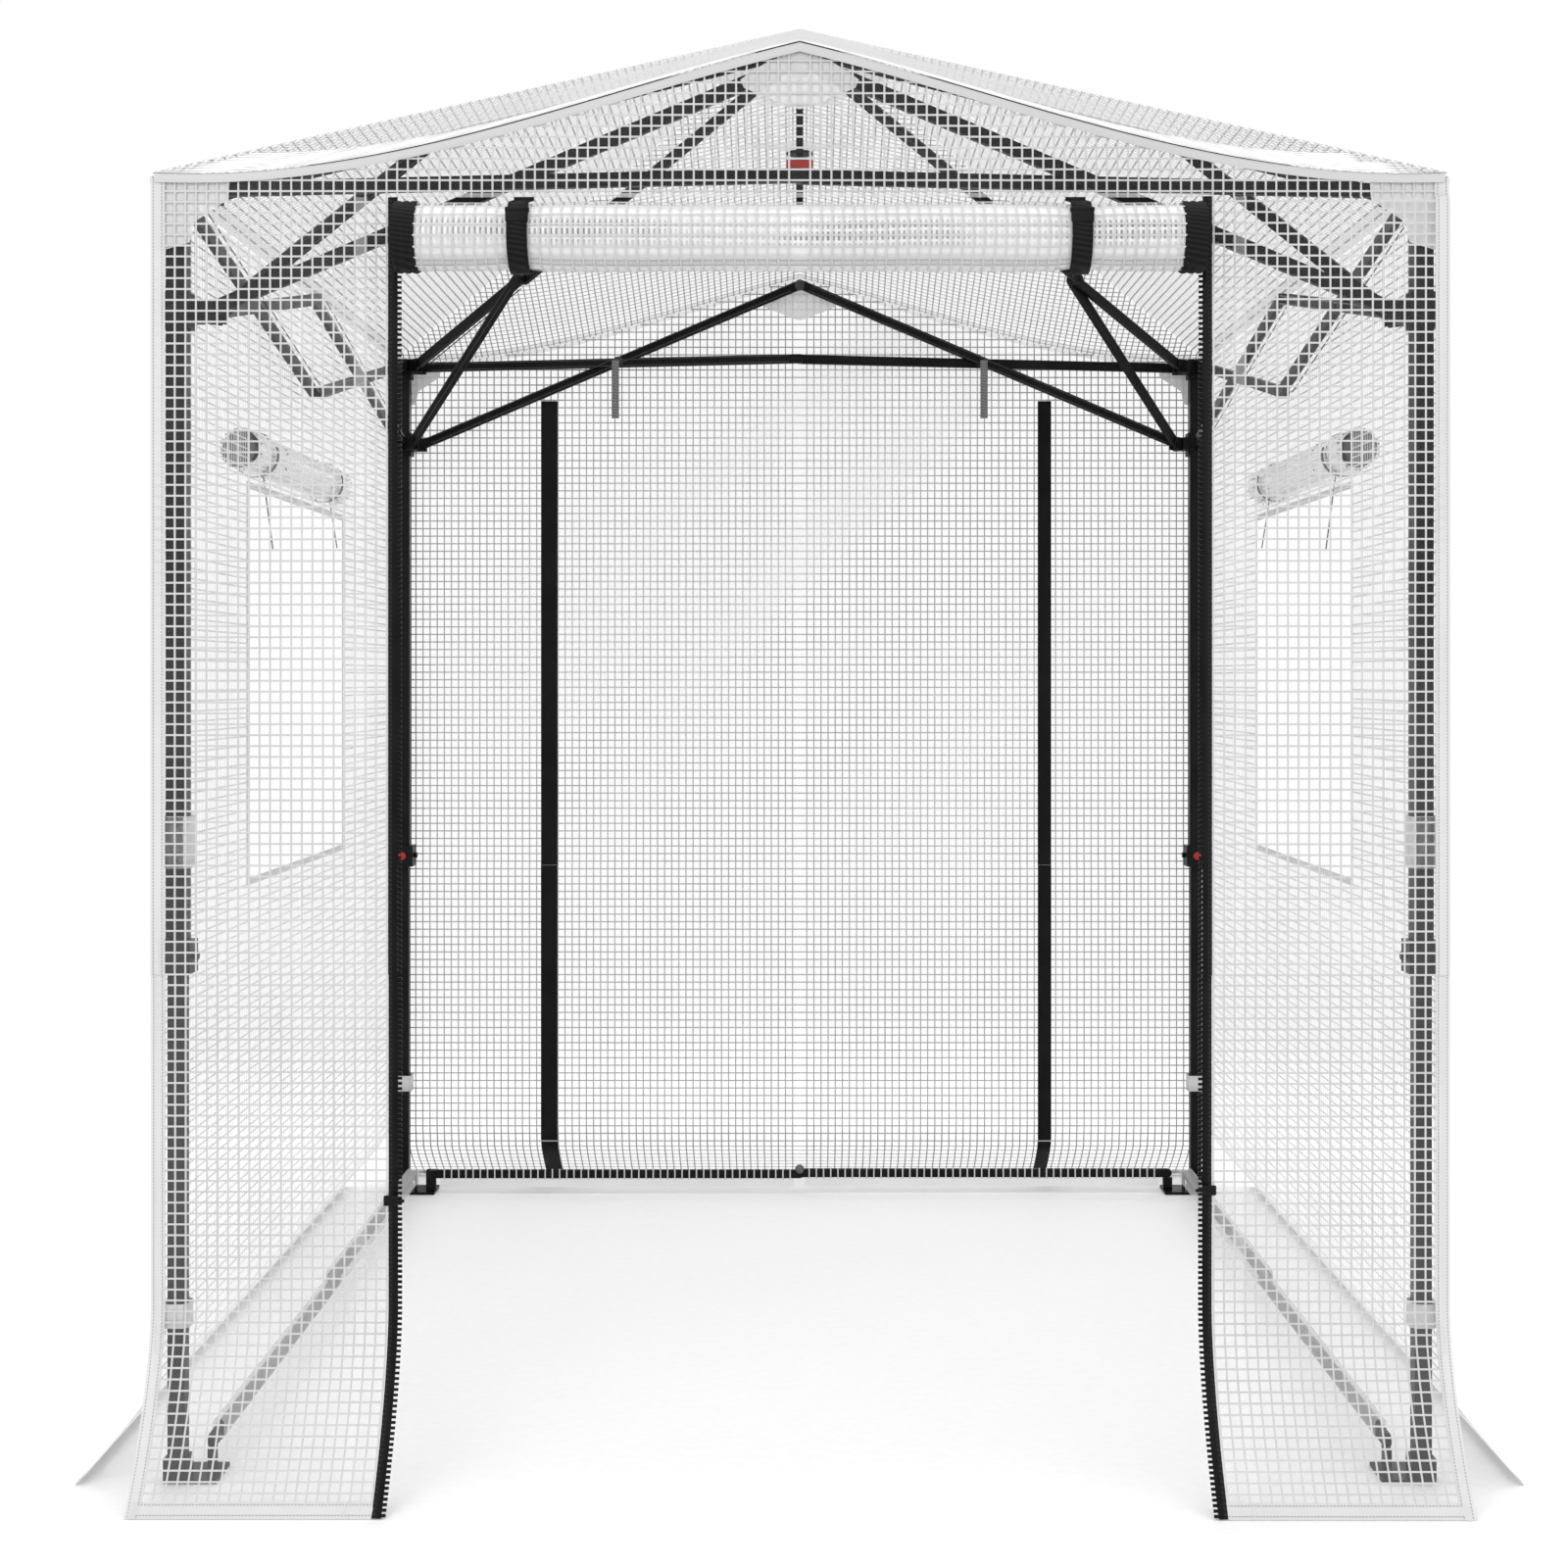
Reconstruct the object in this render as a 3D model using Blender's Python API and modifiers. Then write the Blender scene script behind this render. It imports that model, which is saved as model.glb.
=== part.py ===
"""Mesh greenhouse: a pop-up walk-in frame of folding trusses under a fitted grid-film cover.

Frame: metres, +Z up, the doorway faces -Y, the origin is on the floor at the centre of the footprint.
Four telescopic legs stand at the corners.  Every side has a scissor truss, four diagonal rafters rise
to a hub at the middle of the roof, and three hinged rails hold the feet apart.
"""

import math

import bmesh
import bpy
from mathutils import Matrix, Vector

# Overall frame
LEG_X = 0.875  # leg axis to the middle, across the doorway
EAVE_Z = 1.815  # pivots of the corner brackets
SLIDER_DROP = 0.170  # slider pivots below the bracket pivots
TIE_RISE = 0.020  # the gable tie bars' middle pivot above their ends
CROSS_X = 0.412  # where the gable bars cross, from the middle
FOLDED_LEG_X = 0.140  # leg axis to the middle when the frame is folded

# Tubes
OUTER_LEG = 0.028  # square tube, across the flats
OUTER_WALL = 0.0015
INNER_LEG = 0.024
OUTER_LEG_FOOT = 0.716
INNER_LEG_TOP = 1.100
CLEAR = 0.0003  # running gap between faces that slide on each other

# Flat bars
BAR_HEIGHT = 0.020
BAR_THICKNESS = 0.0097
LAYER = 0.005  # middle of a bar's layer, from the truss plane
STRUT_LAYER = -3 * LAYER  # the strut is on the far side of the outer rafter from the inner one
PIVOT_OFFSET = 0.038  # truss pivots from the leg axis
PIN_RADIUS = 0.004
PIN_CLEARANCE = 0.00035
PIN_SIDES = 8
RIVET_PROUD = 0.0015

# Corner brackets and sliders
BRACKET = 0.036  # square block around the leg
BRACKET_BELOW = 0.025  # block below and above its pivots
BRACKET_ABOVE = 0.017
CLEVIS_HALF_HEIGHT = 0.014
CLEVIS_REACH = 0.049
CHEEK = 0.0035
GUSSET = 0.032  # web between the lugs, from the leg axis
SLOT_BACK = 0.026  # bottom of a clevis slot, from the leg axis
SLIDER_HEIGHT = 0.050
SLEEVE_CLEARANCE = 0.0005

# Roof linkage
HUB_PIVOT_Z = 2.235
HUB_PIVOT_RADIUS = 0.080
ELBOW_SHARE = 0.335  # elbow along the rafter, from the corner
HUB_PLATE_RADIUS = 0.090
HUB_PLATE_THICKNESS = 0.007
HUB_CROWN_RADIUS = 0.030
HUB_CROWN_GAP = 0.0005  # under the roof's cloth
HUB_EAR_LENGTH = 0.032
HUB_EAR_THICKNESS = 0.005
MAST_RADIUS = 0.0065
MAST_LENGTH = 0.275  # below the hub's pivots
MAST_DISC_RADIUS = 0.024
MAST_DISC_DROP = 0.159  # disc's lower face below the hub's pivots
MAST_DISC_THICKNESS = 0.004
LOCK_TOP_GAP = 0.012  # travel of the mast lock, up to the disc
LOCK_SIZE = (0.048, 0.030, 0.022)

# Leg locks and feet
HOUSING = 0.044
HOUSING_HEIGHT = 0.044
BUTTON_RADIUS = 0.0085
BUTTON_LENGTH = 0.0095
BUTTON_PROUD = 0.006
BUTTON_POCKET = 0.0078
KNOB_RADIUS = 0.006
KNOB_PROUD = 0.007
FOOT_PLATE = 0.005
FOOT_OUTSIDE = 0.016  # plate beyond the leg axis, outwards
FOOT_INSIDE = 0.058  # plate beyond the leg axis, inwards
FOOT_BLOCK = 0.034
FOOT_BLOCK_HEIGHT = 0.034

# Base rails
RAIL_Z = 0.041
RAIL_HEIGHT = 0.018
RAIL_INSET = 0.032  # rail plane inside the leg axes
SIDE_RAIL_PIVOT = 0.044  # rail pivot from the leg axis, along the rail
BACK_RAIL_PIVOT = 0.066
RAIL_BRACKET_LENGTH = 0.020

# Cover
COVER_PROUD = 0.030  # cloth outside the leg axes
FABRIC = 0.0015
CORNER_GAP = 0.004  # between neighbouring walls
WALL_TOP_GAP = 0.0024  # walls' tops below the roof's outer face
HEM_STEPS = (2, 5, 5, 2)  # grid steps along the gable hem, shared by the roof and the end walls
ROOF_ON_BRACKET = 0.002  # roof's corners above the brackets
ROOF_OVER_GABLE = 0.0142  # gable hem's top above the apex bars
PEAK_OVER_HUB = 0.069  # where the roof's planes would meet, above the hub's pivots
PEAK_ROUNDING = 0.006  # taken off the peak over the hub
DOOR_HALF_WIDTH = 0.560
DOOR_TOP_Z = 1.800
ROLL_RADIUS = 0.049
ROLL_DROP = 0.063  # roll's middle below the doorway's top
STRAP_X = 0.385
STRAP_WIDTH = 0.028
STRAP_THICKNESS = 0.002
STRAP_RISE = 0.020  # strap's end above the doorway's top
FRONT_FLARE = 0.125
FRONT_FLARE_TOP = 0.250
SIDE_FLARE = 0.108
SIDE_FLARE_TOP = 0.135
WINDOW_HALF_LENGTH = 0.380
WINDOW_BOTTOM_Z = 0.800
WINDOW_TOP_Z = 1.440
WINDOW_ROLL_RADIUS = 0.034
ZIPPER_PULL = (0.020, 0.008, 0.014)
ZIPPER_PULL_Z = 0.4075  # middle of the two pulls
ZIPPER_STAGGER = 0.0015  # clear height between the two pulls, which pass each other when folding
ZIPPER_TAB = (0.009, 0.003, 0.005)  # tab towards the doorway

# Worked out from the sizes above
TIE_INNER = LEG_X - CROSS_X - PIVOT_OFFSET
TIE_SPAN = LEG_X - PIVOT_OFFSET
TIE_ANGLE = math.atan2(TIE_RISE, TIE_SPAN)
TIE_LENGTH = TIE_SPAN / math.cos(TIE_ANGLE)
CROSS_Z = EAVE_Z + TIE_INNER * math.tan(TIE_ANGLE)
SLIDER_Z = EAVE_Z - SLIDER_DROP
APEX_BAR_ANGLE = math.atan2(CROSS_Z - SLIDER_Z, TIE_INNER)
APEX_Z = CROSS_Z + CROSS_X * math.tan(APEX_BAR_ANGLE)
FOLDED_TIE_ANGLE = math.acos((FOLDED_LEG_X - PIVOT_OFFSET) / TIE_LENGTH)
APEX_BAR_LOWER = TIE_INNER / math.cos(APEX_BAR_ANGLE)
TIE_LOWER = TIE_INNER / math.cos(TIE_ANGLE)
FOLDED_APEX_ANGLE = math.acos(TIE_LOWER * math.cos(FOLDED_TIE_ANGLE) / APEX_BAR_LOWER)
FOLDED_DROP = APEX_BAR_LOWER * math.sin(FOLDED_APEX_ANGLE) + TIE_LOWER * math.sin(FOLDED_TIE_ANGLE)
SIDE_ARM = math.hypot(FOLDED_DROP / 2, (FOLDED_LEG_X - PIVOT_OFFSET) / 2)
SIDE_ANGLE = math.asin(SLIDER_DROP / 2 / SIDE_ARM)
SIDE_STEP = SIDE_ARM * math.cos(SIDE_ANGLE)
LEG_Y = PIVOT_OFFSET + 2 * SIDE_STEP
COVER_X = LEG_X + COVER_PROUD
COVER_Y = LEG_Y + COVER_PROUD
HALF_LEG = OUTER_LEG / 2
HALF_BAR = BAR_HEIGHT / 2
BRACKET_BASE_Z = EAVE_Z - BRACKET_BELOW
BRACKET_TOP_Z = EAVE_Z + BRACKET_ABOVE
CORNER_ROOF_Z = BRACKET_TOP_Z + ROOF_ON_BRACKET
GABLE_TOP_Z = APEX_Z + HALF_BAR + ROOF_OVER_GABLE
PEAK_Z = HUB_PIVOT_Z + PEAK_OVER_HUB
CROWN_Z = PEAK_Z - PEAK_ROUNDING
MAST_BOTTOM = HUB_PIVOT_Z - MAST_LENGTH
MAST_DISC_Z = HUB_PIVOT_Z - MAST_DISC_DROP
ROLL_Z = DOOR_TOP_Z - ROLL_DROP
LOCK_Z = OUTER_LEG_FOOT + HOUSING_HEIGHT / 2

STEEL = ((0.022, 0.022, 0.024), 0.42, 0.6)
PLASTIC = ((0.016, 0.016, 0.017), 0.5, 0.0)
RED = ((0.62, 0.025, 0.02), 0.4, 0.0)
FILM = ((0.86, 0.87, 0.87), 0.45, 0.0)

parts = None
cutters = None
materials = {}


def start():
    """Empties the scene and makes the two collections."""
    global parts, cutters
    for thing in list(bpy.data.objects):
        bpy.data.objects.remove(thing, do_unlink=True)
    parts = bpy.data.collections.new("mesh_greenhouse")
    cutters = bpy.data.collections.new("cutters")
    for collection in (parts, cutters):
        bpy.context.scene.collection.children.link(collection)
    for name, finish in (("steel", STEEL), ("plastic", PLASTIC), ("red", RED), ("film", FILM)):
        materials[name] = finish


def finish_for(node, kind):
    """A Principled material of the node's own."""
    colour, roughness, metallic = materials[kind]
    made = bpy.data.materials.new(f"{node}_{kind}")
    made.use_nodes = True
    shader = made.node_tree.nodes["Principled BSDF"]
    shader.inputs["Base Color"].default_value = (*colour, 1.0)
    shader.inputs["Roughness"].default_value = roughness
    shader.inputs["Metallic"].default_value = metallic
    return made


def place(name, mesh_data, kind, origin):
    """Links a mesh, drawn in world coordinates, as a node with its origin at a given point."""
    mesh = bpy.data.meshes.new(name)
    mesh_data.to_mesh(mesh)
    mesh_data.free()
    mesh.transform(Matrix.Translation(-Vector(origin)))
    mesh.materials.append(finish_for(name, kind))
    node = bpy.data.objects.new(name, mesh)
    node.location = origin
    parts.objects.link(node)
    return node


def tool(mesh_data, name):
    """Links a mesh as a guide that a Boolean reads."""
    mesh = bpy.data.meshes.new(name)
    mesh_data.to_mesh(mesh)
    mesh_data.free()
    guide = bpy.data.objects.new(name, mesh)
    guide.hide_render = True
    guide.display_type = "WIRE"
    cutters.objects.link(guide)
    return guide


def combine(node, mesh_data, operation):
    """Adds one Boolean step to a node: UNION or DIFFERENCE."""
    step = node.modifiers.new(operation.lower(), "BOOLEAN")
    step.operation = operation
    step.object = tool(mesh_data, f"{node.name}_{len(node.modifiers)}")


def box(low, high):
    """A box between two corners."""
    low, high = Vector(low), Vector(high)
    size = high - low
    shape = bmesh.new()
    bmesh.ops.create_cube(shape, size=1.0)
    bmesh.ops.scale(shape, vec=size, verts=shape.verts)
    bmesh.ops.translate(shape, vec=(low + high) / 2, verts=shape.verts)
    return shape


def rod(start_point, end_point, radius, sides=PIN_SIDES, end_radius=None):
    """A round bar, or a cone, between two points."""
    a, b = Vector(start_point), Vector(end_point)
    along = b - a
    shape = bmesh.new()
    bmesh.ops.create_cone(
        shape, cap_ends=True, segments=sides, radius1=radius,
        radius2=radius if end_radius is None else end_radius, depth=along.length,
    )
    turn = along.to_track_quat("Z", "Y").to_matrix()
    bmesh.ops.rotate(shape, cent=(0, 0, 0), matrix=turn, verts=shape.verts)
    bmesh.ops.translate(shape, vec=(a + b) / 2, verts=shape.verts)
    return shape


def slab(centre, along, normal, length, width, height):
    """A box turned so that its length runs along a direction; its width is across the normal."""
    u = Vector(along).normalized()
    n = Vector(normal).normalized()
    v = u.cross(n)
    frame = Matrix((u, n, v)).transposed()
    shape = bmesh.new()
    bmesh.ops.create_cube(shape, size=1.0)
    bmesh.ops.scale(shape, vec=(length, width, height), verts=shape.verts)
    bmesh.ops.rotate(shape, cent=(0, 0, 0), matrix=frame, verts=shape.verts)
    bmesh.ops.translate(shape, vec=centre, verts=shape.verts)
    return shape


def round_ends(shape, normal, radius, segments=4):
    """Rounds a slab's corners about its thin direction."""
    n = Vector(normal).normalized()
    edges = [
        edge for edge in shape.edges
        if abs((edge.verts[0].co - edge.verts[1].co).normalized().dot(n)) > 0.99
    ]
    bmesh.ops.bevel(
        shape, geom=edges, offset=radius, segments=segments, profile=0.5, affect="EDGES",
        clamp_overlap=True,
    )
    bmesh.ops.remove_doubles(shape, verts=shape.verts, dist=1e-6)


def pin_hole():
    """Radius of a polygonal hole that clears a pin of the same number of sides."""
    return (PIN_RADIUS + PIN_CLEARANCE) / math.cos(math.pi / PIN_SIDES)


def bar(name, start_point, end_point, normal, layer, holes=(), pins=(), pivot=None,
        height=BAR_HEIGHT, thickness=BAR_THICKNESS, kind="steel"):
    """A flat bar with round ends between two pivots.

    The pivots lie in the truss plane, and layer shifts the bar along the normal.  Pins stand on the
    bar and pass through the neighbouring layer.
    """
    a, b = Vector(start_point), Vector(end_point)
    n = Vector(normal).normalized()
    shift = n * layer
    shape = slab((a + b) / 2 + shift, b - a, n, (b - a).length + height, thickness, height)
    round_ends(shape, n, height * 0.49)
    node = place(name, shape, kind, a if pivot is None else pivot)
    reach = thickness / 2 + PIN_CLEARANCE * 4
    for point in holes:
        centre = Vector(point) + shift
        drill = rod(centre - n * reach, centre + n * reach, pin_hole())
        combine(node, drill, "DIFFERENCE")
    side = -1.0 if layer > 0 else 1.0
    for point in pins:
        root = Vector(point) + shift
        tip = root + n * side * (abs(layer) * 2 + thickness / 2 + RIVET_PROUD)
        rivet = rod(root, tip, PIN_RADIUS)
        combine(node, rivet, "UNION")
    return node


def diagonal(corner):
    """Direction from a leg to the middle, in plan, and the direction square to it."""
    side, end = corner
    inward = Vector((-side * (LEG_X - PIVOT_OFFSET), -end * (LEG_Y - PIVOT_OFFSET), 0)).normalized()
    return inward, Vector((-inward.y, inward.x, 0))


def layers(corner):
    """Signed layers of the gable tie bar and of the side eave bar at a corner."""
    side, end = corner
    return (LAYER if side > 0 else -LAYER), (LAYER if end > 0 else -LAYER)


def ear_side(corner):
    """Side of a rafter's end on which the hub's ear stands, out of that end's way when folding."""
    return -1.0 if corner == (1, 1) else 1.0


def at(corner, inward_x, inward_y, z):
    """A point given inwards from a leg's axis."""
    side, end = corner
    return Vector((side * (LEG_X - inward_x), end * (LEG_Y - inward_y), z))


def corner_box(corner, low, high):
    """A box given inwards from a leg's axis."""
    a, b = at(corner, *low), at(corner, *high)
    return box([min(p) for p in zip(a, b)], [max(p) for p in zip(a, b)])


NAMES = {(-1, -1): "front_left", (1, -1): "front_right", (-1, 1): "back_left", (1, 1): "back_right"}
CORNERS = list(NAMES)


def add_clevises(node, corner, z, gable_layer, side_layer, spoke_layer, pinned):
    """Three slotted lugs on a bracket or slider: along X, along Y and towards the hub.

    Only the lugs named in pinned hold a pin; the others leave their bar's end free to move off.
    """
    side, end = corner
    inward, across = diagonal(corner)
    low, high = z - CLEVIS_HALF_HEIGHT, z + CLEVIS_HALF_HEIGHT
    slot = BAR_THICKNESS / 2 + CLEAR
    root = BRACKET / 2 - 0.002
    gable = gable_layer * -end
    eave = side_layer * -side
    lug_half = slot + CHEEK
    combine(node, corner_box(corner, (root, gable - lug_half, low), (CLEVIS_REACH, gable + lug_half, high)),
            "UNION")
    combine(node, corner_box(corner, (eave - lug_half, root, low), (eave + lug_half, CLEVIS_REACH, high)),
            "UNION")
    combine(node, corner_box(corner, (root - 0.002, root - 0.002, low), (GUSSET, GUSSET, high)), "UNION")
    spoke_pivot = at(corner, PIVOT_OFFSET, PIVOT_OFFSET, z)
    spoke_end = CLEVIS_REACH - PIVOT_OFFSET
    spoke_root = (Vector((PIVOT_OFFSET, PIVOT_OFFSET)).length - BRACKET / 2)
    middle = spoke_pivot + inward * (spoke_end - spoke_root) / 2 + across * spoke_layer
    combine(
        node,
        slab(middle, inward, across, spoke_end + spoke_root, 2 * lug_half, 2 * CLEVIS_HALF_HEIGHT),
        "UNION",
    )
    over = 0.004
    beyond = CLEVIS_REACH + over
    combine(node, corner_box(corner, (SLOT_BACK, gable - slot, low - over), (beyond, gable + slot, high + over)),
            "DIFFERENCE")
    combine(node, corner_box(corner, (eave - slot, SLOT_BACK, low - over), (eave + slot, beyond, high + over)),
            "DIFFERENCE")
    spoke_slot_back = HALF_BAR + 2 * CLEAR
    middle = spoke_pivot + inward * (spoke_end + over - spoke_slot_back) / 2 + across * spoke_layer
    combine(
        node,
        slab(middle, inward, across, spoke_end + over + spoke_slot_back, 2 * slot,
             2 * (CLEVIS_HALF_HEIGHT + over)),
        "DIFFERENCE",
    )
    reach = slot + CHEEK / 2
    if "gable" in pinned:
        centre = at(corner, PIVOT_OFFSET, gable, z)
        combine(node, rod(centre - Vector((0, reach, 0)), centre + Vector((0, reach, 0)), PIN_RADIUS), "UNION")
    if "side" in pinned:
        centre = at(corner, eave, PIVOT_OFFSET, z)
        combine(node, rod(centre - Vector((reach, 0, 0)), centre + Vector((reach, 0, 0)), PIN_RADIUS), "UNION")
    if "spoke" in pinned:
        centre = spoke_pivot + across * spoke_layer
        combine(node, rod(centre - across * reach, centre + across * reach, PIN_RADIUS), "UNION")


def outer_leg(corner):
    """Square tube with its corner bracket at the top and its lock housing at the foot."""
    name = f"{NAMES[corner]}_outer_leg"
    half = HALF_LEG
    node = place(name, corner_box(corner, (-half, -half, OUTER_LEG_FOOT), (half, half, BRACKET_TOP_Z - 0.002)),
                 "steel", at(corner, 0, 0, OUTER_LEG_FOOT))
    block = BRACKET / 2
    combine(node, corner_box(corner, (-block, -block, BRACKET_BASE_Z), (block, block, BRACKET_TOP_Z)), "UNION")
    house = HOUSING / 2
    combine(node, corner_box(corner, (-house, -house, OUTER_LEG_FOOT - 0.002),
                             (house, house, OUTER_LEG_FOOT + HOUSING_HEIGHT)), "UNION")
    gable_layer, side_layer = layers(corner)
    add_clevises(node, corner, EAVE_Z, gable_layer, side_layer, -LAYER, ("gable", "side", "spoke"))
    bore = half - OUTER_WALL
    combine(node, corner_box(corner, (-bore, -bore, OUTER_LEG_FOOT - 0.010), (bore, bore, BRACKET_BASE_Z)),
            "DIFFERENCE")
    knob = at(corner, house - 0.001, 0, LOCK_Z)
    combine(node, rod(knob, at(corner, house + KNOB_PROUD, 0, LOCK_Z), KNOB_RADIUS), "UNION")
    pocket = at(corner, 0, house - BUTTON_POCKET, LOCK_Z)
    radius = (BUTTON_RADIUS + CLEAR) / math.cos(math.pi / 16)
    combine(node, rod(pocket, at(corner, 0, house + 0.003, LOCK_Z), radius, sides=16), "DIFFERENCE")
    return node


def lock_button(corner):
    """Red spring button in the lock housing."""
    house = HOUSING / 2
    start_point = at(corner, 0, house + BUTTON_PROUD, LOCK_Z)
    end_point = at(corner, 0, house + BUTTON_PROUD - BUTTON_LENGTH, LOCK_Z)
    shape = rod(end_point, start_point, BUTTON_RADIUS, sides=16)
    return place(f"{NAMES[corner]}_lock_button", shape, "red", end_point)


def inner_leg(corner):
    """Square tube that slides in the outer leg, on its foot plate."""
    name = f"{NAMES[corner]}_inner_leg"
    half = INNER_LEG / 2
    node = place(name, corner_box(corner, (-half, -half, 0.001), (half, half, INNER_LEG_TOP)), "steel",
                 at(corner, 0, 0, 0))
    out = -FOOT_OUTSIDE
    wide = FOOT_INSIDE if corner[1] < 0 else BACK_RAIL_PIVOT + RAIL_BRACKET_LENGTH / 2
    combine(node, corner_box(corner, (out, out, 0), (wide, FOOT_INSIDE, FOOT_PLATE)), "UNION")
    block = FOOT_BLOCK / 2
    combine(node, corner_box(corner, (-block, -block, 0.001), (block, block, FOOT_BLOCK_HEIGHT)), "UNION")
    bore = half - OUTER_WALL
    combine(node, corner_box(corner, (-bore, -bore, FOOT_BLOCK_HEIGHT), (bore, bore, INNER_LEG_TOP + 0.002)),
            "DIFFERENCE")
    if corner[1] > 0:
        add_rail_bracket(node, corner, "side")
    else:
        add_rail_rest(node, corner, "side")
    if corner == (-1, 1):
        add_rail_bracket(node, corner, "back")
    if corner == (1, 1):
        add_rail_rest(node, corner, "back")
    return node


def rail_frame(corner, rail):
    """Pivot of a rail at a foot, the rail's direction inwards and the direction across it."""
    side, end = corner
    if rail == "side":
        return at(corner, RAIL_INSET, SIDE_RAIL_PIVOT, RAIL_Z), Vector((0, -end, 0)), Vector((1, 0, 0))
    return at(corner, BACK_RAIL_PIVOT, RAIL_INSET, RAIL_Z), Vector((-side, 0, 0)), Vector((0, 1, 0))


def rail_layer(corner, rail):
    """Signed layer of the rail half that starts at this foot."""
    side, end = corner
    if rail == "side":
        return LAYER * side if end > 0 else -LAYER * side
    return -LAYER if side < 0 else LAYER


def add_rail_bracket(node, corner, rail):
    """Two cheeks and a pin that carry a rail's hinged end."""
    pivot, along, across = rail_frame(corner, rail)
    layer = rail_layer(corner, rail)
    slot = BAR_THICKNESS / 2 + CLEAR
    top = RAIL_Z + RAIL_HEIGHT / 2
    low = FOOT_PLATE - 0.001
    for cheek_side in (-1, 1):
        middle = pivot + across * (layer + cheek_side * (slot + CHEEK / 2))
        middle.z = (low + top) / 2
        combine(node, slab(middle, along, across, RAIL_BRACKET_LENGTH, CHEEK, top - low), "UNION")
    reach = slot + CHEEK / 2
    centre = pivot + across * layer
    combine(node, rod(centre - across * reach, centre + across * reach, PIN_RADIUS), "UNION")


def add_rail_rest(node, corner, rail):
    """A block under a rail's free end, which slides over it as the frame folds."""
    pivot, along, across = rail_frame(corner, rail)
    layer = rail_layer(corner, rail)
    top = RAIL_Z - RAIL_HEIGHT / 2 - 2 * CLEAR
    low = FOOT_PLATE - 0.001
    middle = pivot + across * layer
    middle.z = (low + top) / 2
    combine(node, slab(middle, along, across, RAIL_BRACKET_LENGTH, BAR_THICKNESS, top - low), "UNION")


def slider(corner):
    """Sleeve that runs on the outer leg and carries the lower ends of the bars."""
    name = f"{NAMES[corner]}_slider"
    half = BRACKET / 2 + 0.001
    low, high = SLIDER_Z - SLIDER_HEIGHT / 2, SLIDER_Z + SLIDER_HEIGHT / 2
    node = place(name, corner_box(corner, (-half, -half, low), (half, half, high)), "plastic",
                 at(corner, 0, 0, SLIDER_Z))
    gable_layer, side_layer = layers(corner)
    add_clevises(node, corner, SLIDER_Z, -gable_layer, -side_layer, STRUT_LAYER, ("side", "spoke"))
    bore = HALF_LEG + SLEEVE_CLEARANCE
    over = 0.004
    combine(node, corner_box(corner, (-bore, -bore, low - over), (bore, bore, high + over)), "DIFFERENCE")
    return node


def gable(end):
    """The two crossing bars of each half of a gable truss, front (-1) or back (1)."""
    word = "front" if end < 0 else "back"
    normal = Vector((0, 1, 0))
    y = end * LEG_Y
    middle_tie = Vector((0, y, EAVE_Z + TIE_RISE))
    apex = Vector((0, y, APEX_Z))
    for side in (-1, 1):
        hand = "left" if side < 0 else "right"
        layer = LAYER if side > 0 else -LAYER
        foot = Vector((side * (LEG_X - PIVOT_OFFSET), y, EAVE_Z))
        low = Vector((side * (LEG_X - PIVOT_OFFSET), y, SLIDER_Z))
        cross = Vector((side * CROSS_X, y, CROSS_Z))
        holes = [foot, cross] + ([middle_tie] if side > 0 else [])
        bar(f"{word}_{hand}_tie_bar", foot, middle_tie, normal, layer, holes=holes,
            pins=[middle_tie] if side < 0 else [], pivot=foot)
        bar(f"{word}_{hand}_apex_bar", low, apex, normal, -layer, pins=[cross], pivot=cross)


def side_truss(side):
    """The two crossing bars of each half of a side truss, left (-1) or right (1)."""
    hand = "left" if side < 0 else "right"
    normal = Vector((1, 0, 0))
    x = side * LEG_X
    low_middle = Vector((x, 0, SLIDER_Z))
    high_middle = Vector((x, 0, EAVE_Z))
    for end in (-1, 1):
        word = "front" if end < 0 else "back"
        layer = LAYER if end > 0 else -LAYER
        high = Vector((x, end * (LEG_Y - PIVOT_OFFSET), EAVE_Z))
        low = Vector((x, end * (LEG_Y - PIVOT_OFFSET), SLIDER_Z))
        cross = Vector((x, end * SIDE_STEP, (EAVE_Z + SLIDER_Z) / 2))
        down_holes = [cross, high] + ([low_middle] if end > 0 else [])
        bar(f"{hand}_{word}_eave_bar", high, low_middle, normal, layer, holes=down_holes,
            pins=[low_middle] if end < 0 else [], pivot=high if end < 0 else low_middle)
        up_holes = [low] + ([high_middle] if end > 0 else [])
        bar(f"{hand}_{word}_slider_bar", low, high_middle, normal, -layer, holes=up_holes,
            pins=[cross] + ([high_middle] if end < 0 else []), pivot=cross)


def roof_arm(corner):
    """Outer rafter, inner rafter and the strut from the slider to their elbow."""
    inward, across = diagonal(corner)
    layer = -LAYER
    foot = at(corner, PIVOT_OFFSET, PIVOT_OFFSET, EAVE_Z)
    low = at(corner, PIVOT_OFFSET, PIVOT_OFFSET, SLIDER_Z)
    top = Vector((0, 0, HUB_PIVOT_Z)) - inward * HUB_PIVOT_RADIUS
    elbow = foot.lerp(top, ELBOW_SHARE)
    name = NAMES[corner]
    bar(f"{name}_outer_rafter", foot, elbow, across, layer, holes=[foot], pins=[elbow], pivot=foot)
    inner_holes = [elbow] + ([top] if corner == (-1, -1) else [])
    bar(f"{name}_inner_rafter", elbow, top, across, -layer, holes=inner_holes, pivot=elbow)
    bar(f"{name}_rafter_strut", low, elbow, across, STRUT_LAYER, holes=[low], pivot=low)


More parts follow.
